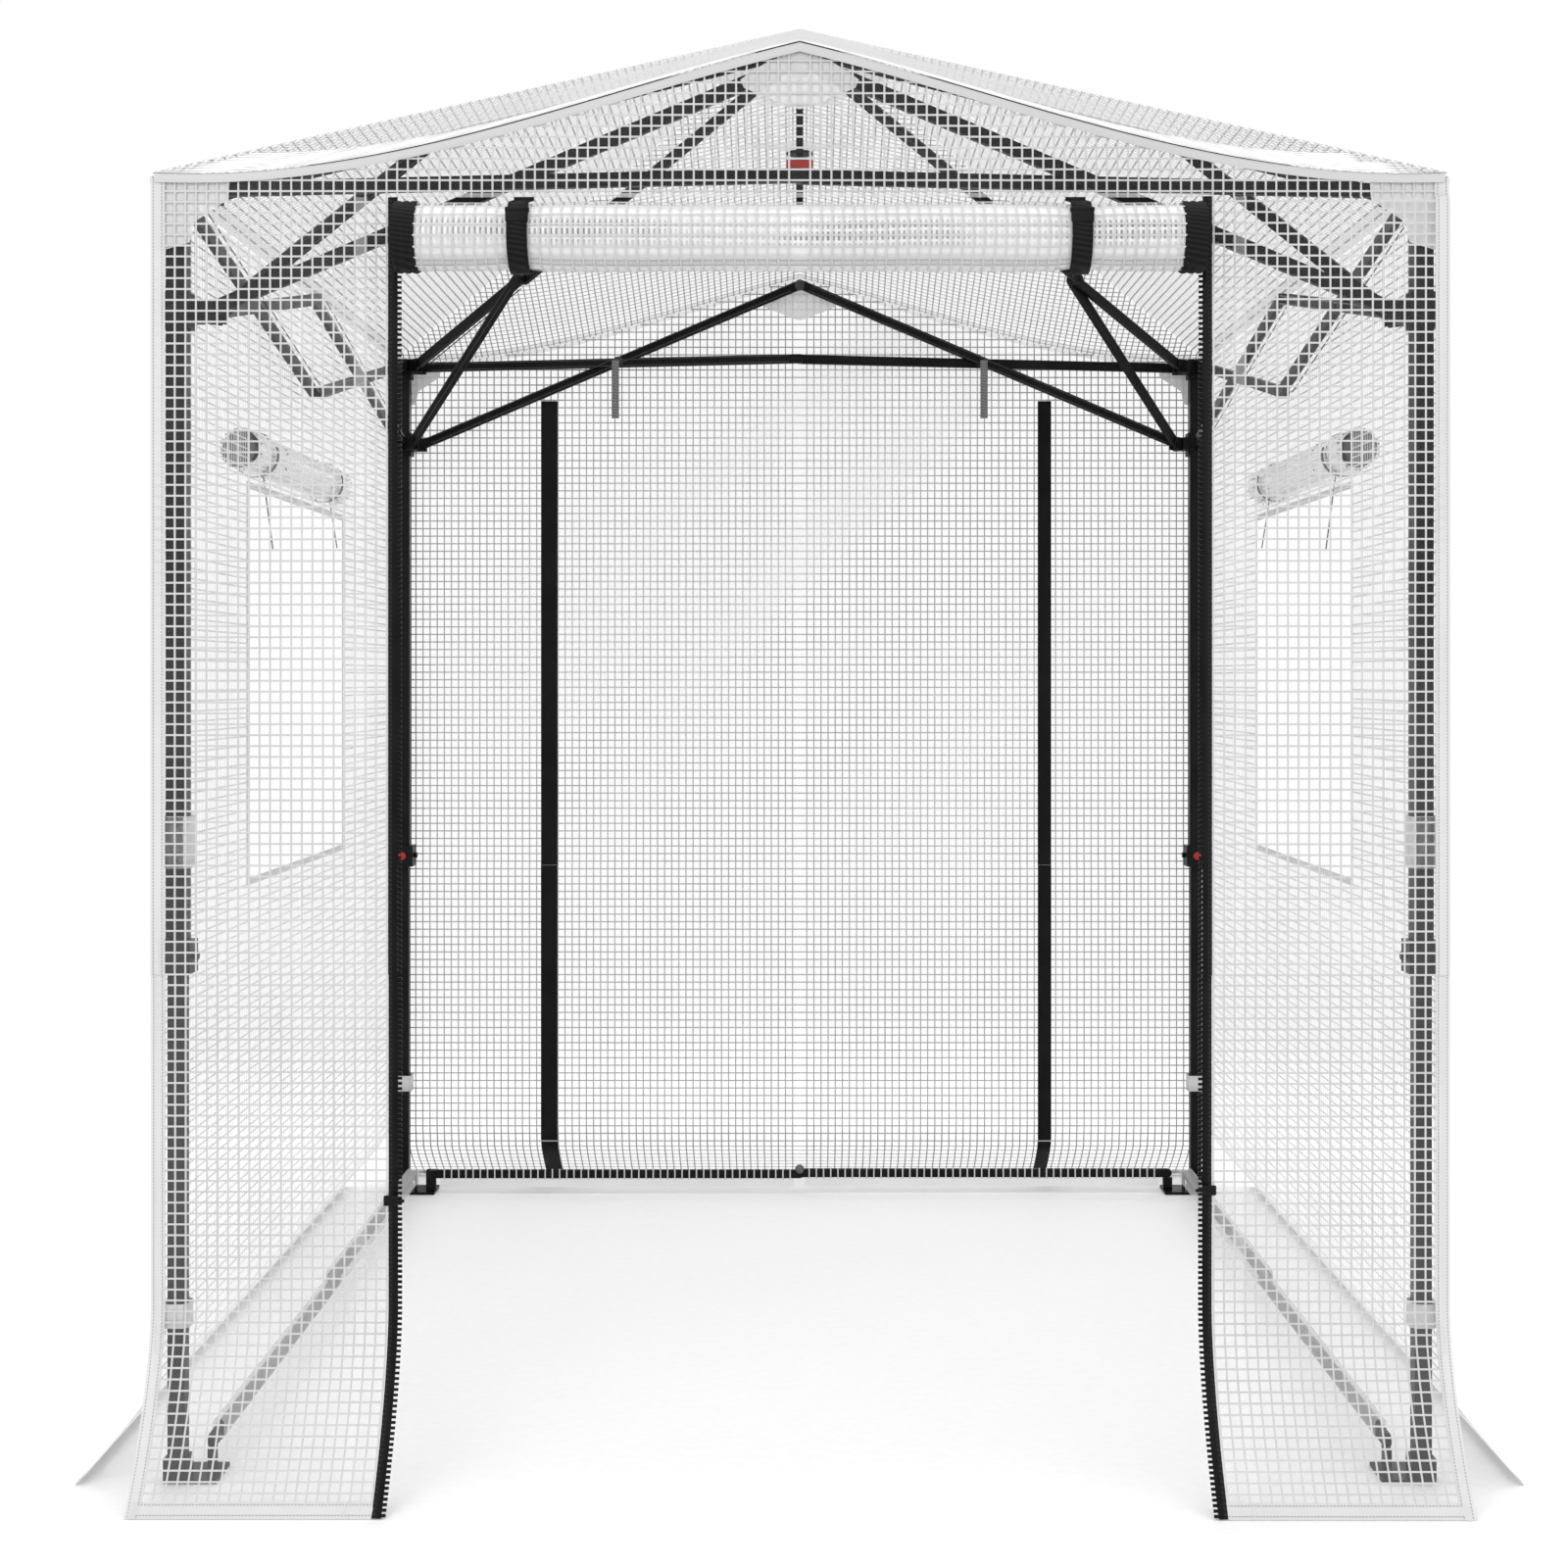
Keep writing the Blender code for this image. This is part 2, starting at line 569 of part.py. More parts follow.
def hub():
    """Plate and crown over the rafters' inner ends, four ears, and the mast that hangs below."""
    under = HUB_PIVOT_Z + HALF_BAR + 0.003
    top = under + HUB_PLATE_THICKNESS
    shape = rod((0, 0, under), (0, 0, top), HUB_PLATE_RADIUS, sides=20, end_radius=HUB_PLATE_RADIUS - 0.010)
    node = place("roof_hub_and_mast", shape, "plastic", (0, 0, HUB_PIVOT_Z))
    combine(node, rod((0, 0, top - 0.002), (0, 0, crown_top(HUB_CROWN_RADIUS * 0.5)),
                      HUB_CROWN_RADIUS * 1.6, sides=16, end_radius=HUB_CROWN_RADIUS * 0.5), "UNION")
    combine(node, rod((0, 0, MAST_BOTTOM), (0, 0, under + 0.002), MAST_RADIUS, sides=12), "UNION")
    collar = MAST_RADIUS * 2.2
    combine(node, rod((0, 0, under - 0.030), (0, 0, under + 0.001), collar, sides=12), "UNION")
    combine(node, rod((0, 0, MAST_DISC_Z), (0, 0, MAST_DISC_Z + MAST_DISC_THICKNESS), MAST_DISC_RADIUS,
                      sides=16), "UNION")
    combine(node, rod((0, 0, MAST_BOTTOM - 0.001), (0, 0, MAST_BOTTOM + 0.012), MAST_RADIUS * 1.5, sides=12),
            "UNION")
    for corner in CORNERS:
        inward, across = diagonal(corner)
        layer = LAYER
        pivot = Vector((0, 0, HUB_PIVOT_Z)) - inward * HUB_PIVOT_RADIUS
        side = ear_side(corner)
        gap = BAR_THICKNESS / 2 + CLEAR
        centre = pivot + across * (layer + side * (gap + HUB_EAR_THICKNESS / 2))
        ear_low = HUB_PIVOT_Z - HALF_BAR
        centre.z = (ear_low + under + 0.002) / 2
        combine(node, slab(centre, inward, across, HUB_EAR_LENGTH, HUB_EAR_THICKNESS, under + 0.002 - ear_low),
                "UNION")
        if corner == (-1, -1):
            start_point = pivot + across * (layer + side * (gap + HUB_EAR_THICKNESS / 2))
            end_point = pivot + across * (layer - side * (gap + RIVET_PROUD))
            combine(node, rod(start_point, end_point, PIN_RADIUS), "UNION")
    return node


def mast_lock():
    """Red release that slides up the mast."""
    width, depth, height = LOCK_SIZE
    top = MAST_DISC_Z - LOCK_TOP_GAP
    node = place("mast_lock", box((-width / 2, -depth / 2, top - height), (width / 2, depth / 2, top)), "red",
                 (0, 0, top))
    bore = (MAST_RADIUS + CLEAR) / math.cos(math.pi / 12)
    combine(node, rod((0, 0, top - height - 0.002), (0, 0, top + 0.002), bore, sides=12), "DIFFERENCE")
    return node


def rail_half(name, corner, rail):
    """One half of a base rail, from a foot to the hinge at its middle."""
    pivot, along, across = rail_frame(corner, rail)
    middle = Vector((0 if rail == "back" else pivot.x, 0 if rail == "side" else pivot.y, RAIL_Z))
    layer = rail_layer(corner, rail)
    hinged = corner[1] > 0 and not (rail == "back" and corner[0] > 0)
    holes = [pivot] if hinged else [middle]
    pins = [middle] if hinged else []
    bar(name, pivot, middle, across, layer, holes=holes, pins=pins, pivot=pivot if hinged else middle,
        height=RAIL_HEIGHT)


def stations(marks, steps):
    """Grid positions that pass through every mark, with a number of even steps between marks."""
    found = [marks[0]]
    for (a, b), count in zip(zip(marks, marks[1:]), steps):
        found += [a + (b - a) * (i + 1) / count for i in range(count)]
    return found


def sheet(name, across, up, point, hole, outward, origin):
    """A cloth panel: a grid pulled to given stations, with holes left open, given its thickness."""
    columns, rows = len(across), len(up)
    shape = bmesh.new()
    bmesh.ops.create_grid(shape, x_segments=columns - 1, y_segments=rows - 1, size=1.0)
    for vert in shape.verts:
        i = round((vert.co.x + 1) / 2 * (columns - 1))
        j = round((vert.co.y + 1) / 2 * (rows - 1))
        vert.co = (across[i], up[j], 0.0)
    gone = [face for face in shape.faces if hole(*face.calc_center_median()[:2])]
    bmesh.ops.delete(shape, geom=gone, context="FACES")
    for vert in shape.verts:
        vert.co = point(vert.co.x, vert.co.y)
    shape.normal_update()
    shape.faces.ensure_lookup_table()
    centre = Vector((0, 0, 0))
    for face in shape.faces:
        centre += face.normal * face.calc_area()
    if centre.dot(Vector(outward)) < 0:
        bmesh.ops.reverse_faces(shape, faces=shape.faces)
    node = place(name, shape, "film", origin)
    thick = node.modifiers.new("cloth", "SOLIDIFY")
    thick.thickness = FABRIC
    thick.offset = -1.0
    return node


def sag(share):
    """Rise of the gable hem from the corner (0) to the middle (1): slow, steep, then flat."""
    share = min(max(share, 0.0), 1.0)
    return 0.5 * (share ** 1.8 + share * share * (3 - 2 * share))


def roof_height(x, y):
    """Roof surface: straight along the rafters and the side eaves, sagging towards the gable hems."""
    u = min(abs(x) / COVER_X, 1.0)
    v = min(abs(y) / COVER_Y, 1.0)
    drop = 1 - max(u, v)
    on_rafter = CORNER_ROOF_Z + (PEAK_Z - CORNER_ROOF_Z) * drop
    if u >= v:
        return min(on_rafter, CROWN_Z)
    ridge = GABLE_TOP_Z + (PEAK_Z - GABLE_TOP_Z) * drop
    return min(on_rafter + (ridge - on_rafter) * sag(1 - u / v), CROWN_Z)


def crown_top(rim):
    """Top of the hub's crown: a gap below the roof's first facet, at the crown's rim."""
    step = DOOR_HALF_WIDTH / HEM_STEPS[1]
    fall = (CROWN_Z - roof_height(step, 0)) / step
    return CROWN_Z - fall * rim - FABRIC * math.hypot(1, fall) - HUB_CROWN_GAP


def flare(z, top, amount, power):
    """Outward sweep of a skirt below a given height."""
    return amount * (1 - z / top) ** power if z < top else 0.0


def end_wall(end):
    """Front wall with its doorway, or the closed back wall, swept outwards at the floor."""
    name = "front_wall" if end < 0 else "back_wall"
    edge = COVER_X - CORNER_GAP
    across = stations([-COVER_X, -DOOR_HALF_WIDTH, 0.0, DOOR_HALF_WIDTH, COVER_X], HEM_STEPS)
    across[0], across[-1] = -edge, edge
    up = stations([0.0, FRONT_FLARE_TOP, DOOR_TOP_Z, GABLE_TOP_Z], [4, 1, 1])
    top = up[-1]

    def point(x, z):
        if z > top - 1e-5:
            z = roof_height(x, COVER_Y - CORNER_GAP) - WALL_TOP_GAP
        out = flare(z, FRONT_FLARE_TOP, FRONT_FLARE, 1.7)
        return Vector((x, end * (COVER_Y - CORNER_GAP + out), z))

    def hole(x, z):
        return end < 0 and abs(x) < DOOR_HALF_WIDTH and z < DOOR_TOP_Z

    sheet(name, across, up, point, hole, (0, end, 0), (0, end * COVER_Y, 0))


def side_wall(side):
    """Side wall with its window opening and the window's cloth rolled up above it."""
    name = "left_wall" if side < 0 else "right_wall"
    edge = COVER_Y - 2 * CORNER_GAP
    across = stations([-edge, -WINDOW_HALF_LENGTH, WINDOW_HALF_LENGTH, edge], [2, 2, 2])
    up = stations([0.0, SIDE_FLARE_TOP, WINDOW_BOTTOM_Z, WINDOW_TOP_Z, CORNER_ROOF_Z], [3, 1, 1, 1])
    top = up[-1]

    def point(y, z):
        if z > top - 1e-5:
            z = CORNER_ROOF_Z - WALL_TOP_GAP * 0.85
        out = flare(z, SIDE_FLARE_TOP, SIDE_FLARE, 1.15)
        return Vector((side * (COVER_X + out), y, z))

    def hole(y, z):
        return abs(y) < WINDOW_HALF_LENGTH and WINDOW_BOTTOM_Z < z < WINDOW_TOP_Z

    node = sheet(name, across, up, point, hole, (side, 0, 0), (side * COVER_X, 0, 0))
    x = side * (COVER_X + WINDOW_ROLL_RADIUS * 0.8)
    z = WINDOW_TOP_Z + WINDOW_ROLL_RADIUS * 1.3
    combine(node, rod((x, -WINDOW_HALF_LENGTH, z), (x, WINDOW_HALF_LENGTH, z), WINDOW_ROLL_RADIUS, sides=12),
            "UNION")


def roof():
    """Hip roof stretched over the rafters, with a rounded peak."""
    across = stations([-COVER_X, -DOOR_HALF_WIDTH, 0.0, DOOR_HALF_WIDTH, COVER_X], HEM_STEPS)
    along = [x * COVER_Y / COVER_X for x in across]

    def point(x, y):
        return Vector((x, y, roof_height(x, y)))

    node = sheet("roof", across, along, point, lambda x, y: False, (0, 0, 1), (0, 0, PEAK_Z))
    shape = bmesh.new()
    shape.from_mesh(node.data)
    for face in list(shape.faces):
        on_hip = [
            vert for vert in face.verts
            if abs(abs(vert.co.x) / COVER_X - abs(vert.co.y) / COVER_Y) < 1e-4
        ]
        if len(on_hip) == 2:
            bmesh.utils.face_split(face, on_hip[0], on_hip[1])
    shape.to_mesh(node.data)
    shape.free()


def door_roll():
    """The doorway's cloth, rolled up, and the two straps that hang it from the lintel."""
    y = -(COVER_Y + ROLL_RADIUS * 0.65)
    reach = DOOR_HALF_WIDTH - 0.002
    node = place("door_roll", rod((-reach, y, ROLL_Z), (reach, y, ROLL_Z), ROLL_RADIUS, sides=16), "film",
                 (0, y, ROLL_Z))
    face = -(COVER_Y - CORNER_GAP) - CLEAR * 2
    half = STRAP_WIDTH / 2
    for side in (-1, 1):
        x = side * STRAP_X
        combine(node, rod((x - half, y, ROLL_Z), (x + half, y, ROLL_Z), ROLL_RADIUS + STRAP_THICKNESS,
                          sides=16), "UNION")
        combine(node, box((x - half, face - STRAP_THICKNESS, ROLL_Z),
                          (x + half, face, DOOR_TOP_Z + STRAP_RISE)), "UNION")


def zipper_slider(side):
    """Pull on the zip at one edge of the doorway, with its tab towards the doorway."""
    name = "left_zipper_slider" if side < 0 else "right_zipper_slider"
    width, depth, height = ZIPPER_PULL
    x = side * (DOOR_HALF_WIDTH + width / 2)
    y = -(COVER_Y - CORNER_GAP) - CLEAR * 2 - depth / 2
    z = ZIPPER_PULL_Z + side * (height + ZIPPER_STAGGER) / 2
    shape = box((x - width / 2, y - depth / 2, z - height / 2), (x + width / 2, y + depth / 2, z + height / 2))
    round_ends(shape, (0, 1, 0), width * 0.25, segments=2)
    node = place(name, shape, "plastic", (x, y, z))
    reach, thick, tall = ZIPPER_TAB
    root, tip = side * (DOOR_HALF_WIDTH + width * 0.3), side * (DOOR_HALF_WIDTH - reach)
    face = y - depth / 2 + 0.001
    combine(node, box((min(root, tip), face, z - tall / 2), (max(root, tip), face + thick, z + tall / 2)), "UNION")


def build():
    """Builds every node."""
    start()
    for corner in CORNERS:
        outer_leg(corner)
        inner_leg(corner)
        slider(corner)
        lock_button(corner)
        roof_arm(corner)
    for end in (-1, 1):
        gable(end)
        end_wall(end)
    for side in (-1, 1):
        side_truss(side)
        side_wall(side)
        zipper_slider(side)
    hub()
    mast_lock()
    rail_half("left_rail_back_half", (-1, 1), "side")
    rail_half("left_rail_front_half", (-1, -1), "side")
    rail_half("right_rail_back_half", (1, 1), "side")
    rail_half("right_rail_front_half", (1, -1), "side")
    rail_half("back_rail_left_half", (-1, 1), "back")
    rail_half("back_rail_right_half", (1, 1), "back")
    roof()
    door_roll()


build()
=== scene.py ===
"""Looks of a pop-up walk-in greenhouse: a fitted cover of clear film with a woven grid on a folding frame.

The doorway faces -Y, Z is up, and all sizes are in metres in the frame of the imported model. A side is -1 on
the left and 1 on the right, an end is -1 at the front and 1 at the back.
"""

from __future__ import annotations

import logging
import math
from dataclasses import dataclass
from enum import Enum
from functools import cache
from typing import Callable, Sequence

import bmesh
import bpy
from mathutils import Matrix, Vector


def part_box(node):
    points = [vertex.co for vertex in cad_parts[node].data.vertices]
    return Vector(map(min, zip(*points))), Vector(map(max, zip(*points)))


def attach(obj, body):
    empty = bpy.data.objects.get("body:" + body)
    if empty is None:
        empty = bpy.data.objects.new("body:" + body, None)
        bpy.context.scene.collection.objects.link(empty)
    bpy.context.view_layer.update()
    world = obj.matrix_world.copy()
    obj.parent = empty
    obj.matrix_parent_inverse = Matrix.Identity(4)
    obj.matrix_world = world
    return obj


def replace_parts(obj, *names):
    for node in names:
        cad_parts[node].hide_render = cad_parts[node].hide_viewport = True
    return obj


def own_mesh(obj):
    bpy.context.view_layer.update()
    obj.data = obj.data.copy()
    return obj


LOG = logging.getLogger("greenhouse")
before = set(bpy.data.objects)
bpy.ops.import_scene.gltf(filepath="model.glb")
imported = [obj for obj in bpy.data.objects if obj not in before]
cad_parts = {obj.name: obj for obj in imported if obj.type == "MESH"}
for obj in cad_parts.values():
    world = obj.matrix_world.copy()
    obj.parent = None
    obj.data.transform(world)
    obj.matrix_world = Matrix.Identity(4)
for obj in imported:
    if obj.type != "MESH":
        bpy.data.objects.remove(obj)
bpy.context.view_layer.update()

Shape = bmesh.types.BMesh
Socket = bpy.types.NodeSocket
Triple = tuple[float, float, float]
Limit = Callable[[float], float] | float
Inputs = dict[str | int, object]

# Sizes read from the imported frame
COVER_X, COVER_Y, PEAK_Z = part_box("roof")[1]
WALL_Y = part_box("back_wall")[0].y
WALL_EDGE_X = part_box("back_wall")[1].x
WALL_EDGE_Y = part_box("left_wall")[1].y
LEG_X = sum(corner.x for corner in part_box("back_right_lock_button")) / 2
LEG_EDGE_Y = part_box("back_right_inner_leg")[1].y
LEG_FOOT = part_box("back_right_outer_leg")[0].z
ROLL_LOW, ROLL_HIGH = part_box("door_roll")

# Sizes of the cover
CORNER_Z = 1.834  # roof's corners
GABLE_Z = 2.017  # top of the gable hems
PLANES_MEET_Z = 2.304
GABLE_DIP = 0.016  # how far the gable hems hang between the corners and the middle
DIP_FROM = 0.7  # share of the roof's depth where that starts
ELBOW = 0.665  # share of the roof inside the rafters' elbows
DOOR_TOP = 1.800
HEM_GAP = 0.0024
ZIP_EDGE = 0.5745  # from the middle to the cloth beside the doorway
SEAM_X = 0.612  # welded seam beside the zip
FLAP_TOP = 1.745  # top of the back door's zip flaps
WINDOW_HALF, WINDOW_LOW, WINDOW_HIGH = 0.380, 0.800, 1.440
THREAD = 0.0027  # width of a thread
PITCH_ACROSS, PITCH_UP = 0.0148, 0.0152  # spacing of the threads
PITCH_BACK = (0.0158, 0.0168)
BINDING = 0.014
FOOT_HEM = 0.024
LAP = 0.0020  # how far the lower cloth hangs inside the upper one
ZIP_LAP = 0.0034
CORNER_LAP = 0.0062  # how far the front binding reaches past the wall's end, over the side wall's edge
RIGHT_PROUD = 0.0065  # right front panel before the left one, which it passes when the frame folds
DRAW_IN = 0.012  # how far inside the corner the walls gather
GATHERED = 0.155  # share of its width that a folded wall keeps
ROLL_CELL = 0.012  # faces of rolled cloth
PAINTED_GLARE_MIDDLE = (-0.05, WALL_Y, 1.35)  # middle of the painted highlight streaks on the back wall


class Leg(Enum):
    """The two tubes of a telescopic leg."""

    OUTER = "outer_leg"
    INNER = "inner_leg"


class Run(Enum):
    """Which way a thread or a band runs on a cloth."""

    UP = "up"
    ACROSS = "across"


def side_name(side: int) -> str:
    """Left or right."""
    return "left" if side < 0 else "right"


def end_name(end: int) -> str:
    """Front or back."""
    return "front" if end < 0 else "back"


def corner_name(side: int, end: int) -> str:
    """Name of a corner, as in the frame's node names."""
    return f"{end_name(end)}_{side_name(side)}"


def leg_body(side: int, end: int, leg: Leg = Leg.OUTER) -> str:
    """Body of a leg's tube; the front left outer one is part of the root body."""
    name = f"{corner_name(side, end)}_{leg.value}"
    return "frame_and_cover" if name == "front_left_outer_leg" else name


def span(side: int, near: float, far: float) -> tuple[float, float]:
    """A stretch on one side of the middle, as its lower and higher place."""
    return (near, far) if side > 0 else (-far, -near)


def value_at(limit: Limit, place: float) -> float:
    """A limit's value at a place, whether it is level or shaped."""
    return limit(place) if callable(limit) else limit


@dataclass(frozen=True)
class Travel:
    """How a piece follows the folding frame: the body that it rides, and how it gathers as a joint moves."""

    body: str
    axis: Triple | None = None
    anchor: Triple | None = None
    keep: float = GATHERED
    joint: str = "fold"

    def carry(self, thing: bpy.types.Object) -> None:
        """Parents a finished piece to its body and, where it has a gathering axis, gives it a mesh of its
        own.
        """
        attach(thing, self.body)
        if self.axis is not None:
            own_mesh(thing)


def gather_x(body: str, side: int) -> Travel:
    """Travel of a piece of an end wall, gathered towards its side."""
    return Travel(body, (1, 0, 0), (side * (WALL_EDGE_X - DRAW_IN), 0, 0))


def gather_y(body: str, end: int) -> Travel:
    """Travel of a piece of a side wall, gathered towards its end."""
    return Travel(body, (0, 1, 0), (0, end * (WALL_EDGE_Y - DRAW_IN), 0))


# ---------------------------------------------------------------- finishes


def rgba(colour: float | Sequence[float] | Socket) -> object:
    """A colour input's value, from a grey tone, a colour or a socket to link."""
    if isinstance(colour, Socket):
        return colour
    return (colour, colour, colour, 1) if isinstance(colour, (int, float)) else (*colour, 1)


class Graph:
    """Nodes of a material or world under construction, with short calls for them."""

    def __init__(self, owner: bpy.types.Material | bpy.types.World) -> None:
        """Starts with no nodes."""
        owner.use_nodes = True
        self.tree = owner.node_tree
        self.tree.nodes.clear()

    def add(self, kind: str, values: Inputs | None = None, **settings: object) -> bpy.types.Node:
        """Adds a node; its inputs are named or numbered, a socket is linked and anything else is a value."""
        made = self.tree.nodes.new(f"ShaderNode{kind}")
        for key, value in settings.items():
            setattr(made, key, value)
        for key, value in (values or {}).items():
            if isinstance(value, Socket):
                self.tree.links.new(value, made.inputs[key])
            else:
                made.inputs[key].default_value = value
        return made

    def node(self, kind: str, values: Inputs | None = None, out: str | int = 0, **settings: object) -> Socket:
        """Adds a node and gives one of its outputs."""
        return self.add(kind, values, **settings).outputs[out]

    def calc(self, operation: str, *values: object, **settings: object) -> Socket:
        """Result of a calculation."""
        return self.node("Math", dict(enumerate(values)), operation=operation, **settings)

    def sum(self, first: Socket, *others: Socket) -> Socket:
        """Sum of sockets, kept from 0 to 1."""
        for other in others:
            first = self.calc("ADD", first, other, use_clamp=True)
        return first

    def times(self, *values: object) -> Socket:
        """Product of two values."""
        return self.calc("MULTIPLY", *values)

    def where(self, scale: Triple = (1, 1, 1), turn: Triple = (0, 0, 0)) -> Socket:
        """Object coordinates, scaled and turned."""
        source = self.node("TexCoord", out="Object")
        if scale == (1, 1, 1) and turn == (0, 0, 0):
            return source
        return self.node("Mapping", {"Vector": source, "Scale": scale, "Rotation": turn})

    def uv(self) -> Sequence[Socket]:
        """The two measures of the UV map."""
        return self.add("SeparateXYZ", {0: self.node("UVMap")}).outputs[:2]

    def noise(self, scale: float, detail: float = 3.0, place: Socket | None = None,
              distortion: float = 0.0) -> Socket:
        """Noise from 0 to 1."""
        return self.node("TexNoise", {"Vector": place or self.where(), "Scale": scale, "Detail": detail,
                                      "Distortion": distortion}, "Fac")

    def spread(self, source: Socket, low: float, high: float, start: float = 0.3,
               stop: float = 0.7) -> Socket:
        """Maps the range from start to stop on low to high."""
        return self.node("MapRange", {"Value": source, "From Min": start, "From Max": stop, "To Min": low,
                                      "To Max": high})

    def tint(self, share: Socket, low: object, high: object) -> Socket:
        """Colour between two, by a share."""
        return self.node("Mix", {"Factor": share, "A": rgba(low), "B": rgba(high)}, "Result",
                         data_type="RGBA")

    def bump(self, height: Socket, strength: float, distance: float) -> Socket:
        """Normal from a height."""
        return self.node("Bump", {"Height": height, "Strength": strength, "Distance": distance})

    def surface(self, **values: object) -> Socket:
        """Principled shader; an underscore in a key stands for a space."""
        return self.node("BsdfPrincipled", {key.replace("_", " "): value for key, value in values.items()})

    def blend(self, share: object, first: Socket, second: Socket) -> Socket:
        """Shader between two, by a share."""
        return self.node("MixShader", {0: share, 1: first, 2: second})


@dataclass(frozen=True)
class Finish:
    """Looks of a surface; the slot is the record's material that it belongs to."""

    name: str
    slot = "film"

    def shader(self, g: Graph) -> Socket:
        """Builds the shader."""
        raise NotImplementedError


@dataclass(frozen=True)
class Film(Finish):
    """Clear film: mostly see-through, with a faint milky veil, soft wrinkles, gloss at a slant and, where
    set, painted highlight streaks.
    """

    veil: float = 0.07
    veil_change: float = 0.05
    painted_glare: float = 0.0
    white: float = 0.86
    slant: float = 0.22
    foot_haze: float = 0.0  # more veil towards the ground
    clear: float = 0.985

    def shader(self, g: Graph) -> Socket:
        """Blends clear and milky film."""
        cloud = g.noise(1.7, 2.0, distortion=0.6)
        veil = g.spread(cloud, self.veil, self.veil + self.veil_change)
        # Painted highlight: a whiter veil in soft diagonal bands round a middle point stands in for glare on
        # the film.
        if self.painted_glare:
            slanting = g.node("Mapping", {"Vector": g.where(turn=(0, math.radians(45), 0)),
                                          "Scale": (0.5, 1.0, 2.6)})
            across = g.noise(1.5, 1.0, slanting, 0.1)
            away = g.node("VectorMath", {0: g.where(), 1: PAINTED_GLARE_MIDDLE}, "Value", operation="DISTANCE")
            veil = g.sum(veil, g.times(g.spread(across, 0.0, self.painted_glare, 0.42, 0.72),
                                       g.spread(away, 1.0, 0.0, 0.40, 0.95)))
        if self.foot_haze:
            height = g.node("SeparateXYZ", {0: g.where()}, 2)
            veil = g.sum(veil, g.spread(height, self.foot_haze, 0.0, 0.1, 1.3))
        rim = g.calc("POWER", g.node("LayerWeight", {"Blend": 0.22}, "Facing"), 3.0)
        veil = g.sum(veil, g.times(rim, self.slant))
        wrinkles = g.noise(9.0, 3.0, distortion=1.2)
        skin = g.surface(Base_Color=rgba(self.white), Roughness=g.spread(cloud, 0.16, 0.3),
                         Normal=g.bump(wrinkles, 0.25, 0.004), Specular_IOR_Level=0.6)
        return g.blend(veil, g.node("BsdfTransparent", {0: rgba(self.clear)}), skin)


@dataclass(frozen=True)
class Thread(Finish):
    """Woven reinforcing tape inside the film: white, a little uneven."""

    tone: float = 0.66

    def shader(self, g: Graph) -> Socket:
        """Patchy tape with fine fibres."""
        patchy = g.noise(6.0, 4.0)
        low = self.tone * 0.93
        colour = g.tint(g.spread(patchy, 0.0, 1.0), (low, low, low * 1.005), min(self.tone * 1.07, 1.0))
        return g.surface(Base_Color=colour, Roughness=g.spread(patchy, 0.42, 0.6),
                         Normal=g.bump(g.noise(900.0, 2.0), 0.3, 0.0003))


@dataclass(frozen=True)
class Vinyl(Finish):
    """Milky welded vinyl of hems, bindings and patches."""

    tone: float = 0.80
    cover: float = 0.9
    stitched: bool = False
    relief: float = 0.35

    def shader(self, g: Graph) -> Socket:
        """Cloudy vinyl; stitched bands carry two rows of stitches along their UV map."""
        cloud = g.noise(5.0, 3.0)
        colour = g.tint(g.spread(cloud, 0.0, 1.0), self.tone * 0.95, self.tone)
        height = g.noise(260.0, 2.0)
        if self.stitched:
            u, v = g.uv()
            row = g.calc("COMPARE", g.calc("ABSOLUTE", g.calc("SUBTRACT", u, 0.5)), 0.3, 0.045)
            dash = g.calc("LESS_THAN", g.calc("FLOORED_MODULO", v, 0.0046), 0.0031)
            stitch = g.times(row, dash)
            colour = g.tint(stitch, colour, self.tone * 0.55)
            height = g.sum(g.times(height, 0.3), stitch)
        skin = g.surface(Base_Color=colour, Roughness=g.spread(cloud, 0.35, 0.5),
                         Normal=g.bump(height, self.relief, 0.0005))
        if self.cover >= 1:
            return skin
        share = g.spread(cloud, self.cover - 0.06, min(self.cover + 0.04, 1.0))
        return g.blend(share, g.node("BsdfTransparent"), skin)


@dataclass(frozen=True)
class Coat(Finish):
    """Powder-coated steel or moulded plastic: a fine grain, faint dust and uneven gloss."""

    colour: Triple
    roughness: float = 0.42
    metallic: float = 0.0
    grain: float = 420.0
    relief: float = 0.12
    gloss: float = 0.10
    slot = "black_plastic"

    def shader(self, g: Graph) -> Socket:
        """Grained coat with dust."""
        cloud = g.noise(14.0, 4.0)
        dust = [min(c * 1.4 + 0.003, 1.0) for c in self.colour]
        return g.surface(Base_Color=g.tint(g.spread(cloud, 0.0, 1.0, 0.35, 0.75), self.colour, dust),
                         Metallic=self.metallic, Specular_IOR_Level=self.gloss,
                         Roughness=g.spread(cloud, self.roughness - 0.06, self.roughness + 0.1),
                         Normal=g.bump(g.noise(self.grain, 2.0), self.relief, 0.0004))


@dataclass(frozen=True)
class Webbing(Finish):
    """Woven strap or zip tape: fine ribs across its length."""

    colour: Triple
    slot = "black_plastic"

    def shader(self, g: Graph) -> Socket:
        """Ribbed cloth."""
        ribs = g.node("TexWave", {"Vector": g.where((0.15, 0.15, 1.0)), "Scale": 620.0 / 6.28,
                                  "Distortion": 0.4, "Detail": 1.0}, "Fac", bands_direction="DIAGONAL")
        light = [min(c * 1.7 + 0.004, 1.0) for c in self.colour]
        return g.surface(Base_Color=g.tint(g.spread(ribs, 0.0, 1.0, 0.2, 0.9), self.colour, light),
                         Roughness=0.78, Normal=g.bump(ribs, 0.4, 0.0004), Specular_IOR_Level=0.12)


